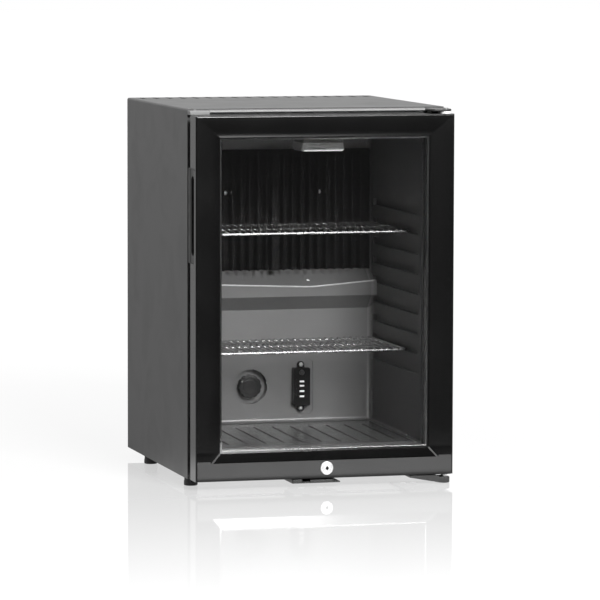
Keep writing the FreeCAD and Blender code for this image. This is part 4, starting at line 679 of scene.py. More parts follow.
class Palette:
    """Every finish of the fridge, made once and given out by slot."""

    FINISHES = (
        Finish(Slot.CABINET, 52, 0.42, Surface.ORANGE_PEEL, 0.00003, 0.03, 6.0, dust=0.12, marks=0.04),
        Finish(Slot.TRIM, 112, 0.4, Surface.MOULDED, 0.00001, 0.04, 12.0, dust=0.1),
        MetalFinish(Slot.GALVANISED, 165, 0.42, 0.35, 140.0, 0.00001, 0.1),
        # liner: side walls and floor painted darker as shade, painted highlight on the gutter's rolled edge
        LinerFinish(Slot.LINER, level=95, smooth=0.26, grained=0.62, wall_place=0.159, wall_shade_level=72,
                    floor_place=0.0655, floor_shade_level=64, lip_place=0.0611, lip_highlight_heights=(0.275, 0.288),
                    lip_highlight_level=165),
        Finish(Slot.FOAM, 205, 0.9, Surface.ORANGE_PEEL, 0.0003, 0.12, 30.0),
        Finish(Slot.FOOT, 42, 0.6, Surface.MOULDED, 0.00003, 0.1, 30.0, dust=0.1),
        Finish(Slot.PLATE, 10, 0.22, Surface.MOULDED, 0.00001, 0.06, 14.0, shine=0.3),
        MetalFinish(Slot.SCREW, 215, 0.28, 0.1, 300.0),
        # lamp cover: painted highlight and painted glow on its lower front edge
        LampCoverFinish(Slot.LAMP_COVER, "lamp_lens", level=138, highlight_level=245, highlight_height=0.0026,
                        highlight_reach=0.005, glow=0.35),
        Finish(Slot.LAMP_BASE, 58, 0.4, Surface.MOULDED, 0.00001, 0.04, 20.0),
        Finish(Slot.BOARD, 120, 0.5, Surface.SPARKED, 0.00002, 0.2, 200.0),
        Finish(Slot.MODULE, 22, 0.16, Surface.SPARKED, 0.00001, 0.08, 40.0, shine=0.3),
        Finish(Slot.DIAL, 38, 0.2, Surface.MOULDED, 0.00001, 0.08, 40.0, shine=0.4),
        Finish(Slot.BUTTON, 34, 0.32, Surface.MOULDED, 0.00001, 0.08, 60.0),
        GlowFinish(Slot.LIGHT, level=205, glow=0.45, roughness=0.3),
        Finish(Slot.NYLON, 226, 0.45, Surface.MOULDED, 0.00001, 0.04, 40.0),
        Finish(Slot.BRACKET, 40, 0.4, Surface.ORANGE_PEEL, 0.00003, 0.1, 30.0, dust=0.15),
        Finish(Slot.UNIT, 44, 0.5, Surface.ORANGE_PEEL, 0.00004, 0.14, 16.0, dust=0.3),
        MetalFinish(Slot.FIN, 180, 0.35, 0.15, 200.0),
        # door frame: darker and glossier below 56 mm, painted shade on its lower rail
        GradedFinish(Slot.FRAME, (0, 0, 1), start=0.056, end=0.060, levels=(4, 7), roughness=(0.1, 0.2),
                     contrast=0.08, shine=0.43, scale=8.0),
        # bottom cover: darker and rougher towards its lower edge, painted shade
        GradedFinish(Slot.COVER, (0, 0, 1), start=0.0145, end=0.024, levels=(8, 52), roughness=(0.75, 0.42),
                     contrast=0.05, shine=0.4),
        GlassFinish(Slot.GLASS, 254),
        # glass spacer: lighter and rougher along its bottom bar, most at the left, a painted highlight
        GradedFinish(Slot.SPACER, (0.11, 0, 1), start=0.036, end=0.069, levels=(190, 120),
                     roughness=(0.34, 0.2), contrast=0.1, metal=1.0, scale=300.0),
        Finish(Slot.BEAD, 34, 0.5, Surface.MOULDED, 0.00002, 0.08, 20.0),
        Finish(Slot.GASKET, 20, 0.55, Surface.SPARKED, 0.00002, 0.1, 18.0),
        Finish(Slot.GRIP, 30, 0.4, Surface.SPARKED, 0.00003, 0.08, 24.0, marks=0.1),
        MetalFinish(Slot.CHROME_LOCK, 222, 0.42, 0.0, 100.0, 0.000001, 0.05),
        GradedFinish(Slot.CHROME_WIRE, (0, 1, 0), start=-0.096, end=-0.09, levels=(162, 180),
                     roughness=(0.26, 0.14), contrast=0.03, metal=1.0, scale=100.0),
    )

    def __init__(self) -> None:
        """Build every material."""
        self.materials = {finish.slot: finish.build() for finish in self.FINISHES}

    def dress_nodes(self, nodes: dict[str, bpy.types.Object]) -> None:
        """Give each CAD node the finish of each of its slots.

        Args:
            nodes: The frame's node objects by name.
        """
        by_name = {slot.value: slot for slot in Slot}
        for name, node in nodes.items():
            for holder in node.material_slots:
                label = holder.material.name.split(".")[0] if holder.material else ""
                if label in by_name:
                    holder.material = self.materials[by_name[label]]
                else:
                    log.warning("node %s has no finish for %s", name, label)


def place_object(name: str, data: bpy.types.ID) -> bpy.types.Object:
    """Make an object and link it to the scene."""
    thing = bpy.data.objects.new(name, data)
    bpy.context.scene.collection.objects.link(thing)
    return thing


class Maker:
    """Turns meshes into pieces of the fridge."""

    def __init__(self, palette: Palette) -> None:
        """Keep the finishes."""
        self.palette = palette

    def piece(self, name: str, mesh: Mesh, slot: Slot, body: str, stands_for: str = "",
              crease: float = 35.0) -> None:
        """Make an object from a mesh and fit it to the frame.

        Args:
            name: Name of the piece.
            mesh: Its mesh, which is freed here.
            slot: Its finish.
            body: The CAD body that it rides on.
            stands_for: The CAD node that it hides, if any.
            crease: Angle in degrees from which an edge stays sharp.
        """
        bmesh.ops.recalc_face_normals(mesh, faces=mesh.faces)
        data = bpy.data.meshes.new(name)
        mesh.to_mesh(data)
        mesh.free()
        data.shade_smooth()
        data.set_sharp_from_angle(angle=math.radians(crease))
        data.materials.append(self.palette.materials[slot])
        thing = place_object(name, data)
        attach(thing, body)
        if stands_for:
            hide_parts(stands_for)
        log.info("made %s on %s", name, body)


class Box:
    """The box round a CAD node.

    Attributes:
        low: Its lowest corner.
        high: Its highest corner.
        middle: Its middle.
        size: Its lengths.
    """

    def __init__(self, node: str) -> None:
        """Measure a node."""
        low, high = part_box(node)
        self.low, self.high = Vector(low), Vector(high)
        self.middle = (self.low + self.high) / 2
        self.size = self.high - self.low

    def low_face(self, axis: int) -> Vector:
        """Give the middle of its face at the low end of an axis."""
        spot = self.middle.copy()
        spot[axis] = self.low[axis]
        return spot


def circle(sides: int) -> Points:
    """Give cosine and sine at even steps round a circle."""
    angles = (2 * math.pi * index / sides for index in range(sides))
    return [(math.cos(angle), math.sin(angle)) for angle in angles]


def quarter(steps: int, first: int = 0) -> Points:
    """Give cosine and sine over one quarter of a circle, 0 for the first."""
    angles = (math.pi / 2 * (first + step / steps) for step in range(steps + 1))
    return [(math.cos(angle), math.sin(angle)) for angle in angles]


def bridge(mesh: Mesh, rings: list[Ring], closed: bool = False) -> None:
    """Join each ring of corners to the next by faces.

    Args:
        mesh: The mesh that the faces are added to.
        rings: The rings. A ring of one corner is a tip.
        closed: Whether the last ring is joined to the first.
    """
    for low, high in zip(rings, rings[1:] + rings[:1] if closed else rings[1:]):
        count = max(len(low), len(high))
        for index in range(count):
            after = (index + 1) % count
            corners = dict.fromkeys((low[index % len(low)], low[after % len(low)], high[after % len(high)],
                                     high[index % len(high)]))
            if len(corners) > 2:
                mesh.faces.new(tuple(corners))


def stretch(section: Points, low_x: float, high_x: float) -> Mesh:
    """Stretch a section along X.

    Args:
        section: Y and Z of its points.
        low_x: Where it starts.
        high_x: Where it ends.

    Returns:
        The closed bar.
    """
    mesh = bmesh.new()
    ends = [[mesh.verts.new((x, y, z)) for y, z in section] for x in (low_x, high_x)]
    bridge(mesh, ends)
    for end in ends:
        mesh.faces.new(end)
    return mesh


def square_axes(axis: Vector) -> tuple[Vector, Vector]:
    """Give two directions that make a right-handed set with a unit vector."""
    first = axis.orthogonal().normalized()
    return first, axis.cross(first)


def lathe(mesh: Mesh, outline: Points, start: Vector, axis: Vector, sides: int) -> None:
    """Turn an outline round an axis.

    Args:
        mesh: The mesh that the turned form is added to.
        outline: Radius and distance along the axis of each point, from one end to the other.
        start: Point on the axis where the distance is 0.
        axis: Unit vector.
        sides: Number of facets round it.
    """
    first, second = square_axes(axis)
    rings = []
    for radius, along in outline:
        spots = circle(sides) if radius > SMALL else [(0.0, 0.0)]
        rings.append([mesh.verts.new(start + axis * along + (first * x + second * y) * radius)
                      for x, y in spots])
    bridge(mesh, rings)


def round_corners(corners: list[Vector], bend: float, steps: int) -> list[Vector]:
    """Replace the corners of a route by arcs.

    Args:
        corners: The route's corners, in order.
        bend: Radius of each arc.
        steps: Facets in an arc.

    Returns:
        The points of the rounded route.
    """
    path = [corners[0]]
    for before, corner, after in zip(corners, corners[1:], corners[2:]):
        back = (before - corner).normalized()
        ahead = (after - corner).normalized()
        half = back.angle(ahead) / 2
        reach = bend / math.tan(half)
        middle = corner + (back + ahead).normalized() * (bend / math.sin(half))
        first = (corner + back * reach - middle).normalized()
        last = (corner + ahead * reach - middle).normalized()
        path += [middle + first.slerp(last, index / steps) * bend for index in range(steps + 1)]
    return [*path, corners[-1]]


def sweep(mesh: Mesh, path: list[Vector], radius: float, sides: int, domed: bool = False) -> None:
    """Sweep a round section along a path.

    Args:
        mesh: The mesh that the bar is added to.
        path: Its points.
        radius: Radius of the bar.
        sides: Facets round it.
        domed: Whether its ends are domed.
    """
    points, scales = list(path), [1.0] * len(path)
    head, head_way = path[0], (path[0] - path[1]).normalized()
    tail, tail_way = path[-1], (path[-1] - path[-2]).normalized()
    for index in range(1, DOME_STEPS + 1) if domed else ():
        angle = math.pi / 2 * index / (DOME_STEPS + DOME_FLAT)
        reach = radius * math.sin(angle) * DOME_DEPTH
        points = [head + head_way * reach, *points, tail + tail_way * reach]
        scales = [math.cos(angle), *scales, math.cos(angle)]
    way = (points[1] - points[0]).normalized()
    first, second = square_axes(way)
    rings = []
    befores, afters = [points[0], *points], [*points[1:], points[-1]]
    for before, point, after, scale in zip(befores, points, afters, scales):
        turn = (after - before).normalized()
        spin = way.rotation_difference(turn)
        first, second, way = spin @ first, spin @ second, turn
        rings.append([mesh.verts.new(point + (first * x + second * y) * radius * scale)
                      for x, y in circle(sides)])
    bridge(mesh, rings)
    mesh.faces.new(rings[0][::-1])
    mesh.faces.new(rings[-1])


@dataclass
class Softening:
    """Rounds the edges of CAD nodes with modifiers.

    Attributes:
        nodes: The frame's node objects by name.
        edges: The nodes that get an edge radius, by that radius in metres.
        segments: Facets of a rounded edge.
        facet_angle: Angle in degrees from which an edge is rounded.
        join_reach: Distance in metres within which split corners are joined.
        flat_angle: Angle in degrees under which triangles count as one flat face.
    """

    nodes: dict[str, bpy.types.Object]
    edges: dict[float, tuple[str, ...]] = field(default_factory=lambda: {
        0.0001: ("condenser_fins",),
        0.0003: ("unit_brackets",),
        0.0004: ("base_pan", "rear_panel", "lock_striker", "striker_wing", "bracket_screws"),
        0.0005: ("indicator_housing", "bottom_rail_cover", "glazing_bead", "upper_hinge_bracket",
                 "lower_hinge_bracket", "drip_tray"),
        0.0006: ("cabinet_shell", "spare_hinge_cap", "cooling_plate", "side_grip_left", "side_grip_right",
                 "thermostat_body"),
        0.0007: ("liner",),
        0.0008: ("lamp_housing", "lamp_lens", "door_stile_left", "door_stile_right", "door_top_rail",
                 "door_bottom_rail"),
        0.0012: ("boiler_housing", "terminal_box"),
    })
    segments: int = 2
    facet_angle: float = 28.0
    join_reach: float = 0.00002
    flat_angle: float = 0.5

    def apply(self) -> None:
        """Add the modifiers to every node in the list."""
        for radius, names in self.edges.items():
            for name in names:
                self._soften(self.nodes[name], radius)
                log.info("softened %s", name)

    def _soften(self, node: bpy.types.Object, radius: float) -> None:
        """Join a node's split corners and flat triangles, then round its edges.

        Args:
            node: The node.
            radius: Its edge radius.
        """
        weld = node.modifiers.new("join", "WELD")
        weld.merge_threshold = self.join_reach
        flat = node.modifiers.new("flat_faces", "DECIMATE")
        flat.decimate_type = "DISSOLVE"
        flat.angle_limit = math.radians(self.flat_angle)
        bevel = node.modifiers.new("edge", "BEVEL")
        bevel.width = radius
        bevel.segments = self.segments
        bevel.limit_method = "ANGLE"
        bevel.angle_limit = math.radians(self.facet_angle)
        bevel.use_clamp_overlap = True
        bevel.harden_normals = False
        normals = node.modifiers.new("even_shading", "WEIGHTED_NORMAL")
        normals.keep_sharp = False


@dataclass
class Assembly:
    """Pieces of the fridge that belong together.

    Attributes:
        maker: Makes the pieces.
    """

    maker: Maker


@dataclass
class WireShelf(Assembly):
    """A chrome wire shelf: a bent frame, a cross bar, and wires welded on top of them.

    Attributes:
        frame_node: CAD node of its frame.
        wires_node: CAD node of its wires.
        body: The body that it slides with.
        frame_radius: Radius of the frame's wire.
        frame_sides: Facets round that wire.
        wire_radius: Radius of the thin wires.
        wire_sides: Facets round them.
        corner: Bend radius of the frame's corners.
        corner_steps: Facets in a corner.
        pitch: Distance between thin wires.
        end_inset: Distance of a wire's last point from its end, as a share of its radius.
        end_drop: How far the wires' ends are pressed down on the frame.
        end_reach: Length over which an end bends down.
        end_shares: Places of the bend's points along that length.
        weld_radius: Radius of a weld bead across the wire.
        weld_length: Length of a weld bead along the wire.
        weld_rows: Rings of facets along a bead.
    """

    frame_node: str
    wires_node: str
    body: str
    frame_radius: float = 0.002
    frame_sides: int = 20
    wire_radius: float = 0.0012
    wire_sides: int = 14
    corner: float = 0.008
    corner_steps: int = 8
    pitch: float = 0.0102
    end_inset: float = 0.6
    end_drop: float = 0.0012
    end_reach: float = 0.006
    end_shares: tuple[float, ...] = (0.0, 0.35, 0.7, 1.0)
    weld_radius: float = 0.0022
    weld_length: float = 0.0044
    weld_rows: int = 8

    def build(self) -> None:
        """Make the frame with its cross bar, and the wires."""
        box, radius = Box(self.frame_node), self.frame_radius
        left, right = box.low.x + radius, box.high.x - radius
        front, rear = box.low.y + radius, box.high.y - radius
        middle = box.middle
        half = [Vector((x, y, middle.z)) for x, y in ((middle.x, front), (right, front), (right, rear),
                                                      (middle.x, rear))]
        run = round_corners(half, self.corner, self.corner_steps)
        other = [Vector((2 * middle.x - point.x, point.y, point.z)) for point in reversed(run)]
        mesh = bmesh.new()
        sweep(mesh, run + other[1:], radius, self.frame_sides)
        sweep(mesh, [Vector((x, middle.y, middle.z)) for x in (left, right)], radius, self.frame_sides)
        self.maker.piece(self.frame_node + "_round", mesh, Slot.CHROME_WIRE, self.body, self.frame_node)
        self._wires(middle.y)

    def _wires(self, bar_place: float) -> None:
        """Make the thin wires with a weld bead where each crosses the bar.

        Args:
            bar_place: Depth of the cross bar.
        """
        box = Box(self.wires_node)
        count = round((box.size.x - self.wire_radius * 2) / self.pitch) + 1
        inset = self.wire_radius * self.end_inset
        front, rear, level = box.low.y + inset, box.high.y - inset, box.middle.z
        bend = [(self.end_reach * share, level - self.end_drop * (1 - share) ** 2)
                for share in self.end_shares]
        spots = [(front + reach, z) for reach, z in bend] + [(rear - reach, z) for reach, z in reversed(bend)]
        bead = [(self.weld_radius * math.sin(angle), -self.weld_length / 2 * math.cos(angle))
                for angle in (math.pi * row / self.weld_rows for row in range(self.weld_rows + 1))]
        mesh = bmesh.new()
        for index in range(count):
            x = box.low.x + self.wire_radius + index * self.pitch
            sweep(mesh, [Vector((x, y, z)) for y, z in spots], self.wire_radius, self.wire_sides, domed=True)
            lathe(mesh, bead, Vector((x, bar_place, level)), Y_AXIS, self.wire_sides)
        self.maker.piece(self.wires_node + "_round", mesh, Slot.CHROME_WIRE, self.body, self.wires_node)


@dataclass
class GlazingSpacer(Assembly):
    """Folded metal spacer between the panes, with rounded edges and a seam along its inner face.

    Attributes:
        node: Its CAD node.
        width: Width of the bar, from the glass edge inwards.
        edge: Radius of its two inner edges.
        steps: Facets of an edge.
        seam: Half width and depth of the seam.
    """

    node: str = "glass_spacer"
    width: float = 0.0107
    edge: float = 0.0018
    steps: int = 6
    seam: float = 0.0005

    def build(self) -> None:
        """Make the spacer as one mitred ring."""
        box, arc = Box(self.node), quarter(self.steps)
        low, high, width, edge = box.low, box.high, self.width, self.edge
        section = [(0.0, low.y),
                   *((width - edge * (1 - sine), low.y + edge * (1 - cosine)) for cosine, sine in arc),
                   (width, box.middle.y - self.seam), (width - self.seam, box.middle.y),
                   (width, box.middle.y + self.seam),
                   *((width - edge * (1 - cosine), high.y - edge * (1 - sine)) for cosine, sine in arc),
                   (0.0, high.y)]
        mesh = bmesh.new()
        corners = ((low.x, low.z, 1, 1), (high.x, low.z, -1, 1), (high.x, high.z, -1, -1),
                   (low.x, high.z, 1, -1))
        rings = [[mesh.verts.new((x + way_x * inwards, y, z + way_z * inwards)) for inwards, y in section]
                 for x, z, way_x, way_z in corners]
        bridge(mesh, rings, closed=True)
        self.maker.piece("glass_spacer_folded", mesh, Slot.SPACER, "door", self.node, crease=40.0)


@dataclass
class FrontTrim(Assembly):
    """Rounded trim along the cabinet's top edge, with a recess under its nose.

    Attributes:
        node: Its CAD node.
        top_edge: Radius of the nose's upper edge.
        lower_edge: Radius of its lower edge.
        steps: Facets of an edge.
        recess_height: Height of the recess.
        recess_depth: How far the recess lies behind the nose.
    """

    node: str = "top_front_trim"
    top_edge: float = 0.0024
    lower_edge: float = 0.0008
    steps: int = 6
    recess_height: float = 0.0024
    recess_depth: float = 0.0072

    def build(self) -> None:
        """Make the trim."""
        box = Box(self.node)
        low, high = box.low, box.high
        lip = low.z + self.recess_height
        section = [(high.y, high.z)]
        for radius, corner_z, first in ((self.top_edge, high.z - self.top_edge, 0),
                                        (self.lower_edge, lip + self.lower_edge, 1)):
            section += [(low.y + radius * (1 - sine), corner_z + radius * cosine)
                        for cosine, sine in quarter(self.steps, first)]
        section += [(low.y + self.recess_depth, lip), (low.y + self.recess_depth, low.z), (high.y, low.z)]
        mesh = stretch(section, low.x, high.x)
        self.maker.piece("top_front_trim_nosed", mesh, Slot.TRIM, "cabinet", self.node, crease=40.0)


@dataclass
class DoorGasket(Assembly):
    """Magnetic door gasket with a foot, two bellows folds and a flat head.

    Attributes:
        node: Its CAD node.
        corner: Radius of its outer corners.
        steps: Facets of a corner.
        least_bend: Smallest radius that a corner's inner points turn on.
        width: Width of its flat head.
        folds: One side of the section from the door outwards. Each point has its distance from the middle as
            a share of half the width, and its distance from the door as a share of the depth.
    """

    node: str = "door_gasket"
    corner: float = 0.006
    steps: int = 6
    least_bend: float = 0.0005
    width: float = 0.022
    folds: tuple[tuple[float, float], ...] = (
        (0.64, 0), (0.64, 2.4 / 12), (0.3, 3 / 12), (0.3, 3.8 / 12), (0.5, 4.8 / 12), (0.5, 5.4 / 12),
        (0.3, 6.4 / 12), (0.3, 7.2 / 12), (0.9, 8.2 / 12), (1, 8.8 / 12), (1, 11.2 / 12), (0.93, 1))

    def build(self) -> None:
        """Sweep the section round the door."""
        box, half = Box(self.node), self.width / 2
        side = [(half * across, box.size.y * out) for across, out in self.folds]
        section = side + [(-across, out) for across, out in reversed(side)]
        inset = half + self.corner
        mesh, rings = bmesh.new(), []
        for way_x, way_z, first in ((1, 1, 0), (-1, 1, 1), (-1, -1, 2), (1, -1, 3)):
            for cosine, sine in quarter(self.steps, first):
                ring = []
                for across, out in section:
                    bend = max(self.corner + across, self.least_bend)
                    inside = self.corner + across - bend - inset
                    x = box.middle.x + way_x * (box.size.x / 2 + inside) + bend * cosine
                    z = box.middle.z + way_z * (box.size.z / 2 + inside) + bend * sine
                    ring.append(mesh.verts.new((x, box.low.y + out, z)))
                rings.append(ring)
        bridge(mesh, rings, closed=True)
        self.maker.piece("door_gasket_bellows", mesh, Slot.GASKET, "door", self.node, crease=50.0)


@dataclass
class LinerEdges(Assembly):
    """Rolled edge on the drip gutter's lip, and the smooth cove between the liner's back and floor.

    Attributes:
        half_width: Half the width between the liner's side walls.
        lip_place: Depth of the middle of the lip.
        lip_low_place: Where along X the lip is lowest.
        lip_low: Height of its lowest point.
        lip_end: Height of its ends.
        lip_radius: Radius of the rolled edge.
        lip_sink: How far the edge lies under the lip's height, as a share of its radius.
        lip_bend: Radius of the bend at the lowest point.
        lip_steps: Facets in that bend.
        lip_sides: Facets round the edge.
        back_place: Depth of the liner's lower back.
        floor_height: Height of the floor at the back.
        cove_radius: Radius of the cove.
        cove_steps: Facets of the cove.
    """

    half_width: float = 0.1614
    lip_place: float = 0.0616
    lip_low_place: float = 0.055
    lip_low: float = 0.278
    lip_end: float = 0.2865
    lip_radius: float = 0.0014
    lip_sink: float = 0.6
    lip_bend: float = 0.2
    lip_steps: int = 10
    lip_sides: int = 20
    back_place: float = 0.0844
    floor_height: float = 0.063
    cove_radius: float = 0.0068
    cove_steps: int = 12

    def build(self) -> None:
        """Make the rolled edge and the cove."""
        drop = self.lip_radius * self.lip_sink
        corners = [Vector((x, self.lip_place, z - drop)) for x, z in (
            (-self.half_width, self.lip_end), (self.lip_low_place, self.lip_low),
            (self.half_width, self.lip_end))]
        mesh = bmesh.new()
        sweep(mesh, round_corners(corners, self.lip_bend, self.lip_steps), self.lip_radius, self.lip_sides)
        # the liner finish paints a highlight along this rolled edge
        self.maker.piece("gutter_rolled_edge", mesh, Slot.LINER, "cabinet")
        radius = self.cove_radius
        section = [(self.back_place, self.floor_height)]
        section += [(self.back_place - radius * (1 - sine), self.floor_height + radius * (1 - cosine))
                    for cosine, sine in quarter(self.cove_steps)]
        mesh = stretch(section, -self.half_width, self.half_width)
        self.maker.piece("liner_rear_cove", mesh, Slot.LINER, "cabinet")


@dataclass
class DoorLock(Assembly):
    """Round chrome lock on the bottom cover: bezel and barrel, and the plug that turns in it.

    Attributes:
        bezel_radius: Outer radius of the bezel.
        bezel_height: How far the bezel stands out.
        bezel_round: Radius of its outer edge, as a share of its height.
        bezel_steps: Facets of that edge.
        barrel_radius: Radius of the barrel.
        mouth: Points of the bore's mouth: how much wider it is there, and depth as a share of the bezel's.
        plug_radius: Radius of the plug.
        plug_edge: Width of the plug's softened edge.
        edge_share: Share of that width where the edge is steepest.
        play: Radial space round the plug.
        keyway_width: Width of the slot for the key.
        keyway_height: Height of the slot for the key.
        keyway_depth: Depth of the slot.
        keyway_eye: Radius of the round part of the slot.
        eye_share: Share of the eye's radius above which the slot is straight.
        eye_sides: Facets of the eye.
        sides: Facets round the lock.
    """

    bezel_radius: float = 0.0102
    bezel_height: float = 0.002
    bezel_round: float = 0.9
    bezel_steps: int = 8
    barrel_radius: float = 0.0085
    mouth: tuple[tuple[float, float], ...] = ((0.0, 0.3), (0.0003, 0.05), (0.0009, 0.0))
    plug_radius: float = 0.0064
    plug_edge: float = 0.0004
    edge_share: float = 0.3
    play: float = 0.00008
    keyway_width: float = 0.0018
    keyway_height: float = 0.0064
    keyway_depth: float = 0.005
    keyway_eye: float = 0.0023
    eye_share: float = 0.72
    eye_sides: int = 32
    sides: int = 96

    def build(self) -> None:
        """Make the bezel with its barrel, the plug and the keyway."""
        box = Box("lock_barrel")
        length, bore, rim = box.size.y, self.plug_radius + self.play, self.bezel_height
        edge = rim * self.bezel_round
        outline = [(bore, length), *((bore + wider, rim * share) for wider, share in self.mouth)]
        outline += [(self.bezel_radius - edge * (1 - sine), edge * (1 - cosine))
                    for cosine, sine in quarter(self.bezel_steps)]
        outline += [(self.bezel_radius, rim), (self.barrel_radius, rim), (self.barrel_radius, length),
                    (bore, length)]
        mesh = bmesh.new()
        lathe(mesh, outline, box.low_face(1), Y_AXIS, self.sides)
        bmesh.ops.remove_doubles(mesh, verts=mesh.verts, dist=SMALL)
        self.maker.piece("lock_barrel_turned", mesh, Slot.CHROME_LOCK, "door", "lock_barrel")
        self._plug()

    def _slot(self) -> Points:
        """Give X and Z of the keyway's outline round the plug's middle."""
        eye, half_width, half_height = self.keyway_eye, self.keyway_width / 2, self.keyway_height / 2
        spots = [(x * eye, z * eye) if abs(z) < self.eye_share
                 else (math.copysign(half_width, x), math.copysign(half_height, z))
                 for x, z in circle(self.eye_sides)]
        return list(dict.fromkeys(spots))

    def _plug(self) -> None:
        """Make the plug, whose face leaves the keyway open, and the keyway's walls and floor, which are black
        as painted shade.
        """
        box = Box("lock_plug")
        start, length = box.low_face(1), box.size.y
        radius, edge = self.plug_radius, self.plug_edge
        outline = [(radius - edge, 0.0), (radius - edge * self.edge_share, edge * self.edge_share),
                   (radius, edge), (radius, length), (0.0, length)]
        slot = self._slot()
        mesh = bmesh.new()
        lathe(mesh, outline, start, Y_AXIS, self.sides)
        rim = [vert for vert in mesh.verts if abs(vert.co.y - start.y) < SMALL]
        rim.sort(key=lambda vert: math.atan2(vert.co.z - start.z, vert.co.x - start.x))
        mouth = [mesh.verts.new(start + Vector((x, 0, z))) for x, z in slot]
        edges = []
        for ring in (rim, mouth):
            for pair in zip(ring, ring[1:] + ring[:1]):
                edges.append(mesh.edges.get(pair) or mesh.edges.new(pair))
        bmesh.ops.triangle_fill(mesh, use_beauty=True, use_dissolve=False, edges=edges)
        self.maker.piece("lock_plug_turned", mesh, Slot.CHROME_LOCK, "lock", "lock_plug")
        # the keyway's walls and floor take the black bracket finish: painted shade inside the slot
        mesh = bmesh.new()
        mouth, floor = [[mesh.verts.new(start + Vector((x, depth, z))) for x, z in slot]
                        for depth in (0, self.keyway_depth)]
        bridge(mesh, [mouth, floor])
        mesh.faces.new(floor)
        self.maker.piece("lock_keyway_painted_shade", mesh, Slot.BRACKET, "lock")


@dataclass
class ThermostatDial(Assembly):
    """Round knob with soft grip scallops and a raised cap.

    Attributes:
        node: Its CAD node.
        scallops: Number of scallops.
        bite: Depth of a scallop.
        sharpness: How sharply a scallop sets in.
        cap_share: Radius of the cap as a share of the knob's.
        cap_edge: Rings from the cap to the skirt. Each has its radius beyond the cap's, its distance behind
            the cap's face and the share of the scallops' depth there.
        grip_edge: Rings round the grip, with their radius beyond the knob's and the same other measures.
        sides: Facets round it.
    """

    node: str = "thermostat_dial"
    scallops: int = 12
    bite: float = 0.0015
    sharpness: int = 3
    cap_share: float = 0.65
    cap_edge: tuple[tuple[float, float, float], ...] = (
        (-0.0012, 0.0, 0.0), (-0.0004, 0.0002, 0.0), (0.0, 0.0008, 0.0), (0.0002, 0.0012, 0.0),
        (0.0015, 0.0013, 0.2))
    grip_edge: tuple[tuple[float, float, float], ...] = (
        (-0.0016, 0.0014, 0.8), (-0.0005, 0.0019, 0.95), (0.0, 0.003, 1.0))
    sides: int = 192

    def build(self) -> None:
        """Make the knob."""
        box = Box(self.node)
        radius, depth = box.size.x / 2, box.size.y
        profile = [(0.0, 0.0, 0.0)]
        for base, edge in ((radius * self.cap_share, self.cap_edge), (radius, self.grip_edge)):
            profile += [(base + beyond, out, share) for beyond, out, share in edge]
        profile += [(radius, depth, 1.0), (0.0, depth, 0.0)]
        turns = (2 * math.pi * index / self.sides for index in range(self.sides))
        dips = [self.bite * (0.5 - 0.5 * math.cos(self.scallops * turn)) ** self.sharpness for turn in turns]
        round_spots = list(zip(dips, circle(self.sides)))
        mesh, rings = bmesh.new(), []
        face = box.low_face(1)
        for reach, out, share in profile:
            spots = round_spots if reach > SMALL else [(0.0, (0.0, 0.0))]
            rings.append([mesh.verts.new(face + Vector(((reach - dip * share) * x, out,
                                                        (reach - dip * share) * z)))
                          for dip, (x, z) in spots])
        bridge(mesh, rings)
        self.maker.piece("thermostat_dial_knob", mesh, Slot.DIAL, "dial", self.node, crease=40.0)


@dataclass
class TurnedFeet(Assembly):
    """The three round feet and the foot under the hinge pin.

    Attributes:
        foot_radius: Radius of a round foot.
        foot_sides: Facets round it.
        rim: Radius of the soft rim at the sole.
        rim_share: Share of that radius where the rim is steepest.
        sole: How far the middle of the sole is hollowed.
        sole_shares: Radii between which the hollow ends, as shares of the foot's.
        waist: How much a foot narrows towards its top.
        waist_shares: Heights between which it narrows, as shares of the foot's.
        hinge_bore: Radius of the pin's hole in the hinge foot.
        hinge_edge: Width of the hinge foot's softened edges.
        hinge_facet: Width of the outer facet of such an edge.
        hinge_sides: Facets round the hinge foot.
    """

    foot_radius: float = 0.0104
    foot_sides: int = 48
    rim: float = 0.0015
    rim_share: float = 0.3
    sole: float = 0.0008
    sole_shares: tuple[float, float] = (0.6, 0.66)
    waist: float = 0.0006
    waist_shares: tuple[float, float] = (0.55, 0.62)
    hinge_bore: float = 0.003
    hinge_edge: float = 0.0014
    hinge_facet: float = 0.0004
    hinge_sides: int = 64

    def build(self) -> None:
        """Make the feet."""
        box, radius, rim = Box("cabinet_feet"), self.foot_radius, self.rim
        left, right = box.low.x + radius, box.high.x - radius
        front, rear = box.low.y + radius, box.high.y - radius
        hollow, flat = (radius * share for share in self.sole_shares)
        wide, narrow = (box.size.z * share for share in self.waist_shares)
        outline = [(0.0, self.sole), (hollow, self.sole), (flat, 0.0), (radius - rim, 0.0),
                   (radius - rim * self.rim_share, rim * self.rim_share), (radius, rim), (radius, wide),
                   (radius - self.waist, narrow), (radius - self.waist, box.size.z), (0.0, box.size.z)]
        mesh = bmesh.new()
        for x, y in ((left, front), (left, rear), (right, rear)):
            lathe(mesh, outline, Vector((x, y, box.low.z)), Z_AXIS, self.foot_sides)
        self.maker.piece("cabinet_feet_turned", mesh, Slot.FOOT, "cabinet", "cabinet_feet")
        box = Box("hinge_foot")
        radius, top, bore = box.size.x / 2, box.size.z, self.hinge_bore
        edge, facet = self.hinge_edge, self.hinge_facet
        outline = [(0.0, top / 2), (bore, top / 2), (bore, top), (radius - edge, top),
                   (radius - facet, top - facet), (radius, top - edge), (radius, edge),
                   (radius - facet, facet), (radius - edge, 0.0), (0.0, 0.0)]
        mesh = bmesh.new()
        lathe(mesh, outline, box.low_face(2), Z_AXIS, self.hinge_sides)
        self.maker.piece("hinge_foot_turned", mesh, Slot.FOOT, "cabinet", "hinge_foot")


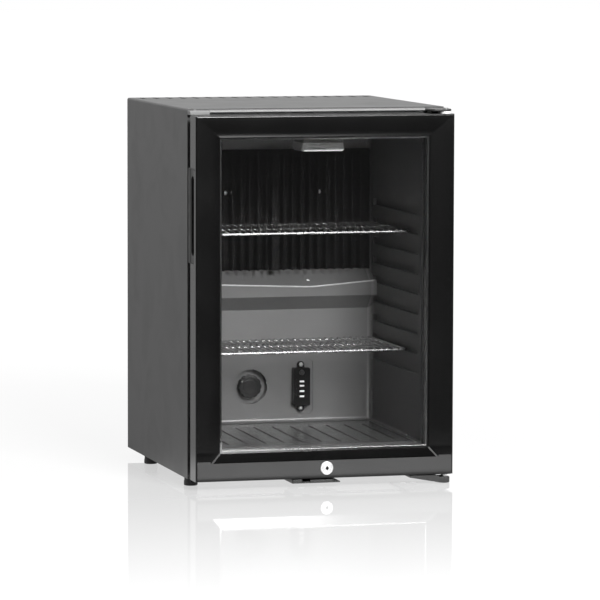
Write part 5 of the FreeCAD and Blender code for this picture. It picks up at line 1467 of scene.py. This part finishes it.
@dataclass
class CrossHeadScrews(Assembly):
    """Two small screws with a domed head and a cross recess.

    Attributes:
        node: CAD node with the two screws.
        across: Whether they stand side by side, else one above the other.
        head_radius: Radius of a head.
        head_height: Height of a head.
        shank_radius: Radius of a shank.
        dome_share: Height of the dome as a share of the head's.
        dome_curve: How sharply the dome falls at its edge.
        arm_width: Half the width of the recess's arms, as a share of the head's radius.
        arm_reach: Length of an arm, as a share of the head's radius.
        sink: Depth of the recess, as a share of the head's height.
        sides: Facets round a screw.
        rows: Rings of facets over the dome.
    """

    node: str
    across: bool
    head_radius: float = 0.0032
    head_height: float = 0.002
    shank_radius: float = 0.0016
    dome_share: float = 0.62
    dome_curve: float = 2.4
    arm_width: float = 0.13
    arm_reach: float = 0.56
    sink: float = 0.45
    sides: int = 48
    rows: int = 10

    def build(self) -> None:
        """Make both screws."""
        box, reach = Box(self.node), self.head_radius
        low, high, middle = box.low, box.high, box.middle
        if self.across:
            places = [(low.x + reach, middle.z), (high.x - reach, middle.z)]
        else:
            places = [(middle.x, low.z + reach), (middle.x, high.z - reach)]
        mesh = bmesh.new()
        for x, z in places:
            self._screw(mesh, Vector((x, low.y, z)), box.size.y)
        self.maker.piece(self.node + "_domed", mesh, Slot.SCREW, "cabinet", self.node, crease=30.0)

    def _screw(self, mesh: Mesh, tip: Vector, length: float) -> None:
        """Add one screw whose recess is pressed into its dome.

        Args:
            mesh: The mesh that it is added to.
            tip: Middle of the head's front.
            length: Length from the head's front to the shank's end.
        """
        height, radius = self.head_height, self.head_radius
        rings = []
        for share in (row / self.rows for row in range(self.rows + 1)):
            dome = height * self.dome_share * share ** self.dome_curve
            ring = []
            for x, z in circle(self.sides) if share else [(0.0, 0.0)]:
                narrow, wide = sorted((abs(x * share), abs(z * share)))
                pressed = narrow < self.arm_width and wide < self.arm_reach
                depth = dome + (height * self.sink if pressed else 0.0)
                ring.append(mesh.verts.new(tip + Vector((radius * share * x, depth, radius * share * z))))
            rings.append(ring)
        for reach, along in ((radius, height), (self.shank_radius, height), (self.shank_radius, length)):
            rings.append([mesh.verts.new(tip + Vector((reach * x, along, reach * z)))
                          for x, z in circle(self.sides)])
        bridge(mesh, rings)
        mesh.faces.new(rings[-1])


@dataclass
class CoolingUnit(Assembly):
    """The absorption unit's round pipes, along the routes that the CAD model gives them.

    Attributes:
        pipe_radius: Radius of the condenser and absorber pipes.
        pipe_bend: Bend radius of those pipes.
        pipe_facets: Facets in a bend and round a pipe.
        stub: Straight end of a pipe before the cabinet's back.
        rise: How far the condenser rises above the boiler.
        fall: How far it falls to the left.
        left_inset: Distance from the receiver's end to the left bends.
        tube_drop: Height between the cooling tube's ends.
        runs: Level runs of the absorber.
        run_fall: Fall of each run.
        boiler_gap: Distance from the absorber's right bends to the boiler.
        return_radius: Radius of the return pipe.
        receiver_dome: Depth of the receiver's drawn-in ends.
        receiver_facets: Facets over an end and round the receiver.
        seam: The receiver's weld groove: half its width, half the width of its floor, and its depth.
        drain_radius: Radius of the drain tube.
        drain_bend: Bend radius of the drain tube.
        drain_facets: Facets in a bend and round the drain tube.
        drain_slope: Depth and height where the drain tube starts, at the gutter.
        drain_wall: Depth and heights where it turns down and out inside the foam.
    """

    pipe_radius: float = 0.009
    pipe_bend: float = 0.024
    pipe_facets: tuple[int, int] = (12, 32)
    stub: float = 0.003
    rise: float = 0.082
    fall: float = 0.016
    left_inset: float = 0.026
    tube_drop: float = 0.072
    runs: int = 4
    run_fall: float = 0.012
    boiler_gap: float = 0.046
    return_radius: float = 0.006
    receiver_dome: float = 0.009
    receiver_facets: tuple[int, int] = (8, 64)
    seam: tuple[float, float, float] = (0.002, 0.0012, 0.0006)
    drain_radius: float = 0.004
    drain_bend: float = 0.01
    drain_facets: tuple[int, int] = (10, 24)
    drain_slope: tuple[float, float] = (0.0799, 0.2851)
    drain_wall: tuple[float, float, float] = (0.1134, 0.2408, 0.205)

    def build(self) -> None:
        """Make every pipe."""
        boiler, vessel = Box("boiler_housing"), Box("receiver_vessel")
        y, vessel_z = vessel.middle.y, vessel.middle.z
        left = vessel.low.x + self.left_inset
        mouth_y = y - self.pipe_bend - self.stub
        top = boiler.high.z + self.rise
        level = top - self.fall
        self._pipe("condenser_pipe", [(boiler.middle.x, y, boiler.high.z), (boiler.middle.x, y, top),
                                      (left, y, level), (left, mouth_y, level)], self.pipe_radius)
        level -= self.tube_drop
        drop = (level - vessel_z - self.runs * self.run_fall) / (self.runs + 1)
        route = [(left, mouth_y, level), (left, y, level), (left, y, level - drop)]
        level -= drop
        for run in range(self.runs):
            x = left if run % 2 else boiler.low.x - self.boiler_gap
            level -= self.run_fall
            route += [(x, y, level), (x, y, level - drop)]
            level -= drop
        self._pipe("absorber_coil", route, self.pipe_radius)
        self._vessel(vessel)
        self._pipe("return_pipe", [(vessel.high.x, y, vessel_z), (boiler.low.x, y, vessel_z)],
                   self.return_radius)
        self._drain()

    def _pipe(self, node: str, route: list[tuple[float, float, float]], radius: float) -> None:
        """Make one black pipe.

        Args:
            node: The CAD node that it stands for.
            route: Its corners.
            radius: Its radius.
        """
        steps, sides = self.pipe_facets
        mesh = bmesh.new()
        sweep(mesh, round_corners([Vector(corner) for corner in route], self.pipe_bend, steps), radius, sides)
        self.maker.piece(node + "_round", mesh, Slot.UNIT, "cabinet", node)

    def _vessel(self, box: Box) -> None:
        """Make the receiver with its drawn-in ends and its weld.

        Args:
            box: Box of the CAD vessel.
        """
        radius, length, dome = box.size.z / 2, box.size.x, self.receiver_dome
        steps, sides = self.receiver_facets
        outer, inner, depth = self.seam
        end = [(0.0, 0.0), *((radius - dome * (1 - sine), dome * (1 - cosine))
                             for cosine, sine in quarter(steps)[1:])]
        weld = [(radius, -outer), (radius - depth, -inner), (radius - depth, inner), (radius, outer)]
        outline = [*end, *((reach, length / 2 + along) for reach, along in weld),
                   *((reach, length - along) for reach, along in reversed(end))]
        mesh = bmesh.new()
        lathe(mesh, outline, box.low_face(0), X_AXIS, sides)
        self.maker.piece("receiver_vessel_round", mesh, Slot.UNIT, "cabinet", "receiver_vessel", crease=40.0)

    def _drain(self) -> None:
        """Make the drain tube from the gutter to the tray."""
        box = Box("drain_tube")
        wall_y, elbow_z, wall_z = self.drain_wall
        out_y = box.high.y - self.drain_radius
        spots = (self.drain_slope, (wall_y, elbow_z), (wall_y, wall_z), (out_y, wall_z), (out_y, box.low.z))
        route = [Vector((box.middle.x, y, z)) for y, z in spots]
        steps, sides = self.drain_facets
        mesh = bmesh.new()
        sweep(mesh, round_corners(route, self.drain_bend, steps), self.drain_radius, sides)
        self.maker.piece("drain_tube_round", mesh, Slot.NYLON, "cabinet", "drain_tube")


@dataclass
class PhotoCamera:
    """The camera of the photograph.

    Attributes:
        place: Where it stands, in metres.
        yaw: Turn to the right of the Y axis, in degrees.
        pitch: Tilt down, in degrees.
        roll: Roll, in degrees.
        focal_pixels: Focal length in pixels of the 600 pixel image.
        image_size: Pixels along the image.
        sensor: Sensor size in millimetres.
        reach: Distance up to which it sees, in metres.
    """

    place: tuple[float, float, float] = (-1.7025, -6.2736, 0.8573)
    yaw: float = 15.362
    pitch: float = 5.224
    roll: float = 0.131
    focal_pixels: float = 4228.3
    image_size: float = 600.0
    sensor: float = 36.0
    reach: float = 100.0

    def build(self) -> None:
        """Make the camera and give it to the scene."""
        yaw, pitch, roll = (math.radians(angle) for angle in (self.yaw, self.pitch, self.roll))
        ahead = Vector((math.sin(yaw) * math.cos(pitch), math.cos(yaw) * math.cos(pitch), -math.sin(pitch)))
        level = Vector((math.cos(yaw), -math.sin(yaw), 0))
        upward = level.cross(ahead)
        right = level * math.cos(roll) + upward * math.sin(roll)
        top = upward * math.cos(roll) - level * math.sin(roll)
        data = bpy.data.cameras.new("photo_camera")
        data.sensor_width = self.sensor
        data.lens = self.sensor * self.focal_pixels / self.image_size
        data.clip_end = self.reach
        camera = place_object("photo_camera", data)
        turned = Matrix((right, top, -ahead)).transposed().to_4x4()
        camera.matrix_world = Matrix.Translation(Vector(self.place)) @ turned
        bpy.context.scene.camera = camera


@dataclass(frozen=True)
class SoftBox:
    """A soft studio lamp.

    Attributes:
        name: Name of the lamp.
        place: Where it hangs, in metres.
        aim: The point that it faces.
        width: Width in metres.
        height: Height in metres.
        power: Power in watts.
        in_mirrors: Whether it shows in glossy surfaces.
    """

    name: str
    place: tuple[float, float, float]
    aim: tuple[float, float, float]
    width: float
    height: float
    power: float
    in_mirrors: bool = True

    def build(self) -> None:
        """Hang the lamp."""
        data = bpy.data.lights.new(self.name, "AREA")
        data.shape = "RECTANGLE"
        data.size = self.width
        data.size_y = self.height
        data.energy = self.power
        lamp = place_object(self.name, data)
        place = Vector(self.place)
        turned = (Vector(self.aim) - place).to_track_quat("-Z", "Y").to_matrix().to_4x4()
        lamp.matrix_world = Matrix.Translation(place) @ turned
        lamp.visible_camera = False
        lamp.visible_glossy = self.in_mirrors


@dataclass
class Studio:
    """White sweep, soft lamps and a pale floor.

    Attributes:
        lamps: The soft boxes.
        fill: Strength of the surroundings on dull surfaces.
        front_level: How bright the room in front of the fridge is, where 1 is white.
        side_level: How bright the floor behind the fridge is in mirrors.
        beside: Y of the direction in which the room is darkest, and in which it gets white.
        above: Z of the direction from which the ceiling lightens the dark part, and where it is white.
        floor_size: Length of the floor's sides.
        shade_reach: Distance round the fridge within which the floor is dimmer, as painted shade.
        floor_far: Distance where it gets white.
        shaded_near_glow: Its own light near the fridge, dimmed as painted shade.
        shade_level: Grey level at which it takes up lamp light and shadows.
        bounce_level: Grey level at which it lights dull surfaces.
        mirror_share: How much of the floor's light is a reflection, next to the fridge.
        mirror_reach: Distance in front of the fridge over which that reflection fades.
        mirror_roughness: Roughness of that reflection.
        dark_start: Distance in front of the fridge where the floor starts to darken in mirrors.
        dark_depth: Distance over which it darkens there.
    """

    lamps: tuple[SoftBox, ...] = (
        SoftBox("top_softbox", (0.0, -0.1, 2.7), (0.0, 0.0, 0.5), width=2.2, height=2.2, power=18.0),
        SoftBox("front_softbox", (0.4, -3.3, 1.95), (0.0, 0.0, 0.2), width=1.1, height=1.0, power=235.0),
        SoftBox("left_softbox", (-3.2, 0.9, 1.2), (-0.2, 0.0, 0.25), width=1.6, height=1.6, power=2.5,
                in_mirrors=False),
    )
    fill: float = 0.2
    front_level: float = 0.035
    side_level: float = 0.25
    beside: tuple[float, float] = (-0.55, 0.1)
    above: tuple[float, float] = (0.25, 0.6)
    floor_size: float = 60.0
    shade_reach: float = 0.5
    floor_far: float = 2.5
    shaded_near_glow: float = 0.84
    shade_level: float = 110
    bounce_level: float = 200
    mirror_share: float = 0.33
    mirror_reach: float = 1.65
    mirror_roughness: float = 0.03
    dark_start: float = 0.28
    dark_depth: float = 0.15

    def build(self) -> None:
        """Make the world, the lamps and the floor, and show colours as they are."""
        bpy.context.scene.view_settings.view_transform = "Standard"
        self._world()
        for lamp in self.lamps:
            lamp.build()
        self._floor()

    def _world(self) -> None:
        """White to the camera, white behind and beside the fridge, darker in front of it."""
        world = bpy.data.worlds.new("studio_world")
        world.use_nodes = True
        bpy.context.scene.world = world
        sheet = NodeSheet(world.node_tree)
        way = sheet.add("ShaderNodeSeparateXYZ", {"Vector": sheet.add("ShaderNodeTexCoord")["Generated"]})
        room = sheet.math("MAXIMUM", sheet.spread(way["Y"], *self.beside, self.front_level, 1.0),
                          sheet.spread(way["Z"], *self.above))
        path = sheet.add("ShaderNodeLightPath")
        strength = sheet.math("MULTIPLY", room, sheet.spread(sheet.mirrored(path), 0.0, 1.0, self.fill, 1.0))
        seen = sheet.math("MAXIMUM", strength, path["Is Camera Ray"])
        background = sheet.add("ShaderNodeBackground", {"Color": grey(255), "Strength": seen})
        sheet.add("ShaderNodeOutputWorld", {"Surface": background["Background"]})

    def _floor(self) -> None:
        """White floor that keeps the fridge's shadow and a faint reflection of it, and whose glow is dimmed
        round the fridge as painted shade.
        """
        half = self.floor_size / 2
        data = bpy.data.meshes.new("studio_floor")
        data.from_pydata([(-half, -half, 0), (half, -half, 0), (half, half, 0), (-half, half, 0)], [],
                         [(0, 1, 2, 3)])
        data.materials.append(self._floor_finish())
        floor = place_object("studio_floor", data)
        floor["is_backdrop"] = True

    def _floor_finish(self) -> bpy.types.Material:
        """Make the floor's material."""
        material, sheet = new_material("studio_floor_white")
        path, depth = sheet.add("ShaderNodeLightPath"), sheet.axes()["Y"]
        low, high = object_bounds()
        mirrored = sheet.mirrored(path)
        seen = sheet.math("MAXIMUM", path["Is Camera Ray"], mirrored)
        away = sheet.add("ShaderNodeVectorMath", {0: sheet.place()}, operation="LENGTH")["Value"]
        # the floor's own light dims towards the fridge: painted shade round it
        shaded_floor_glow = sheet.spread(away, self.shade_reach, self.floor_far, self.shaded_near_glow, 1.0)
        dark_front = low[1] - self.dark_start
        ahead = sheet.spread(depth, dark_front - self.dark_depth, dark_front, self.front_level, 1.0)
        behind = sheet.spread(depth, 0.0, high[1], 1.0, self.side_level)
        room = sheet.spread(mirrored, 0.0, 1.0, 1.0, sheet.math("MULTIPLY", ahead, behind))
        glow = sheet.add("ShaderNodeEmission", {"Color": grey(255),
                                                "Strength": sheet.math("MULTIPLY", shaded_floor_glow, room)})
        catch = sheet.add("ShaderNodeBsdfDiffuse", {"Color": sheet.blend(mirrored, grey(self.shade_level),
                                                                         grey(0))})
        plain = sheet.add("ShaderNodeAddShader", {0: glow[0], 1: catch[0]})
        mirror = sheet.add("ShaderNodeBsdfGlossy", {"Color": grey(255), "Roughness": self.mirror_roughness})
        share = sheet.spread(depth, low[1] - self.mirror_reach, low[1], 0.0, self.mirror_share)
        shown = sheet.blend_shaders(share, plain[0], mirror[0])
        bounce = sheet.add("ShaderNodeBsdfDiffuse", {"Color": grey(self.bounce_level)})
        sheet.add("ShaderNodeOutputMaterial", {"Surface": sheet.blend_shaders(seen, bounce[0], shown)})
        return material


def main() -> None:
    """Dress the fridge."""
    logging.basicConfig(level=logging.INFO, format="%(name)s: %(message)s")
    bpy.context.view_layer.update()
    nodes = frame["nodes"]
    PhotoCamera().build()
    EffectGroups().build()
    palette = Palette()
    palette.dress_nodes(nodes)
    maker = Maker(palette)
    Softening(nodes).apply()
    WireShelf(maker, "shelf_upper", "shelf_upper_wires", "upper_shelf").build()
    WireShelf(maker, "shelf_lower", "shelf_lower_wires", "lower_shelf").build()
    for kind in (GlazingSpacer, FrontTrim, LinerEdges, DoorGasket, DoorLock, ThermostatDial, TurnedFeet):
        kind(maker).build()
    CrossHeadScrews(maker, "cooling_plate_screws", across=True).build()
    CrossHeadScrews(maker, "indicator_screws", across=False).build()
    CoolingUnit(maker).build()
    Studio().build()
    log.info("fridge dressed")


if __name__ == "__main__":
    main()
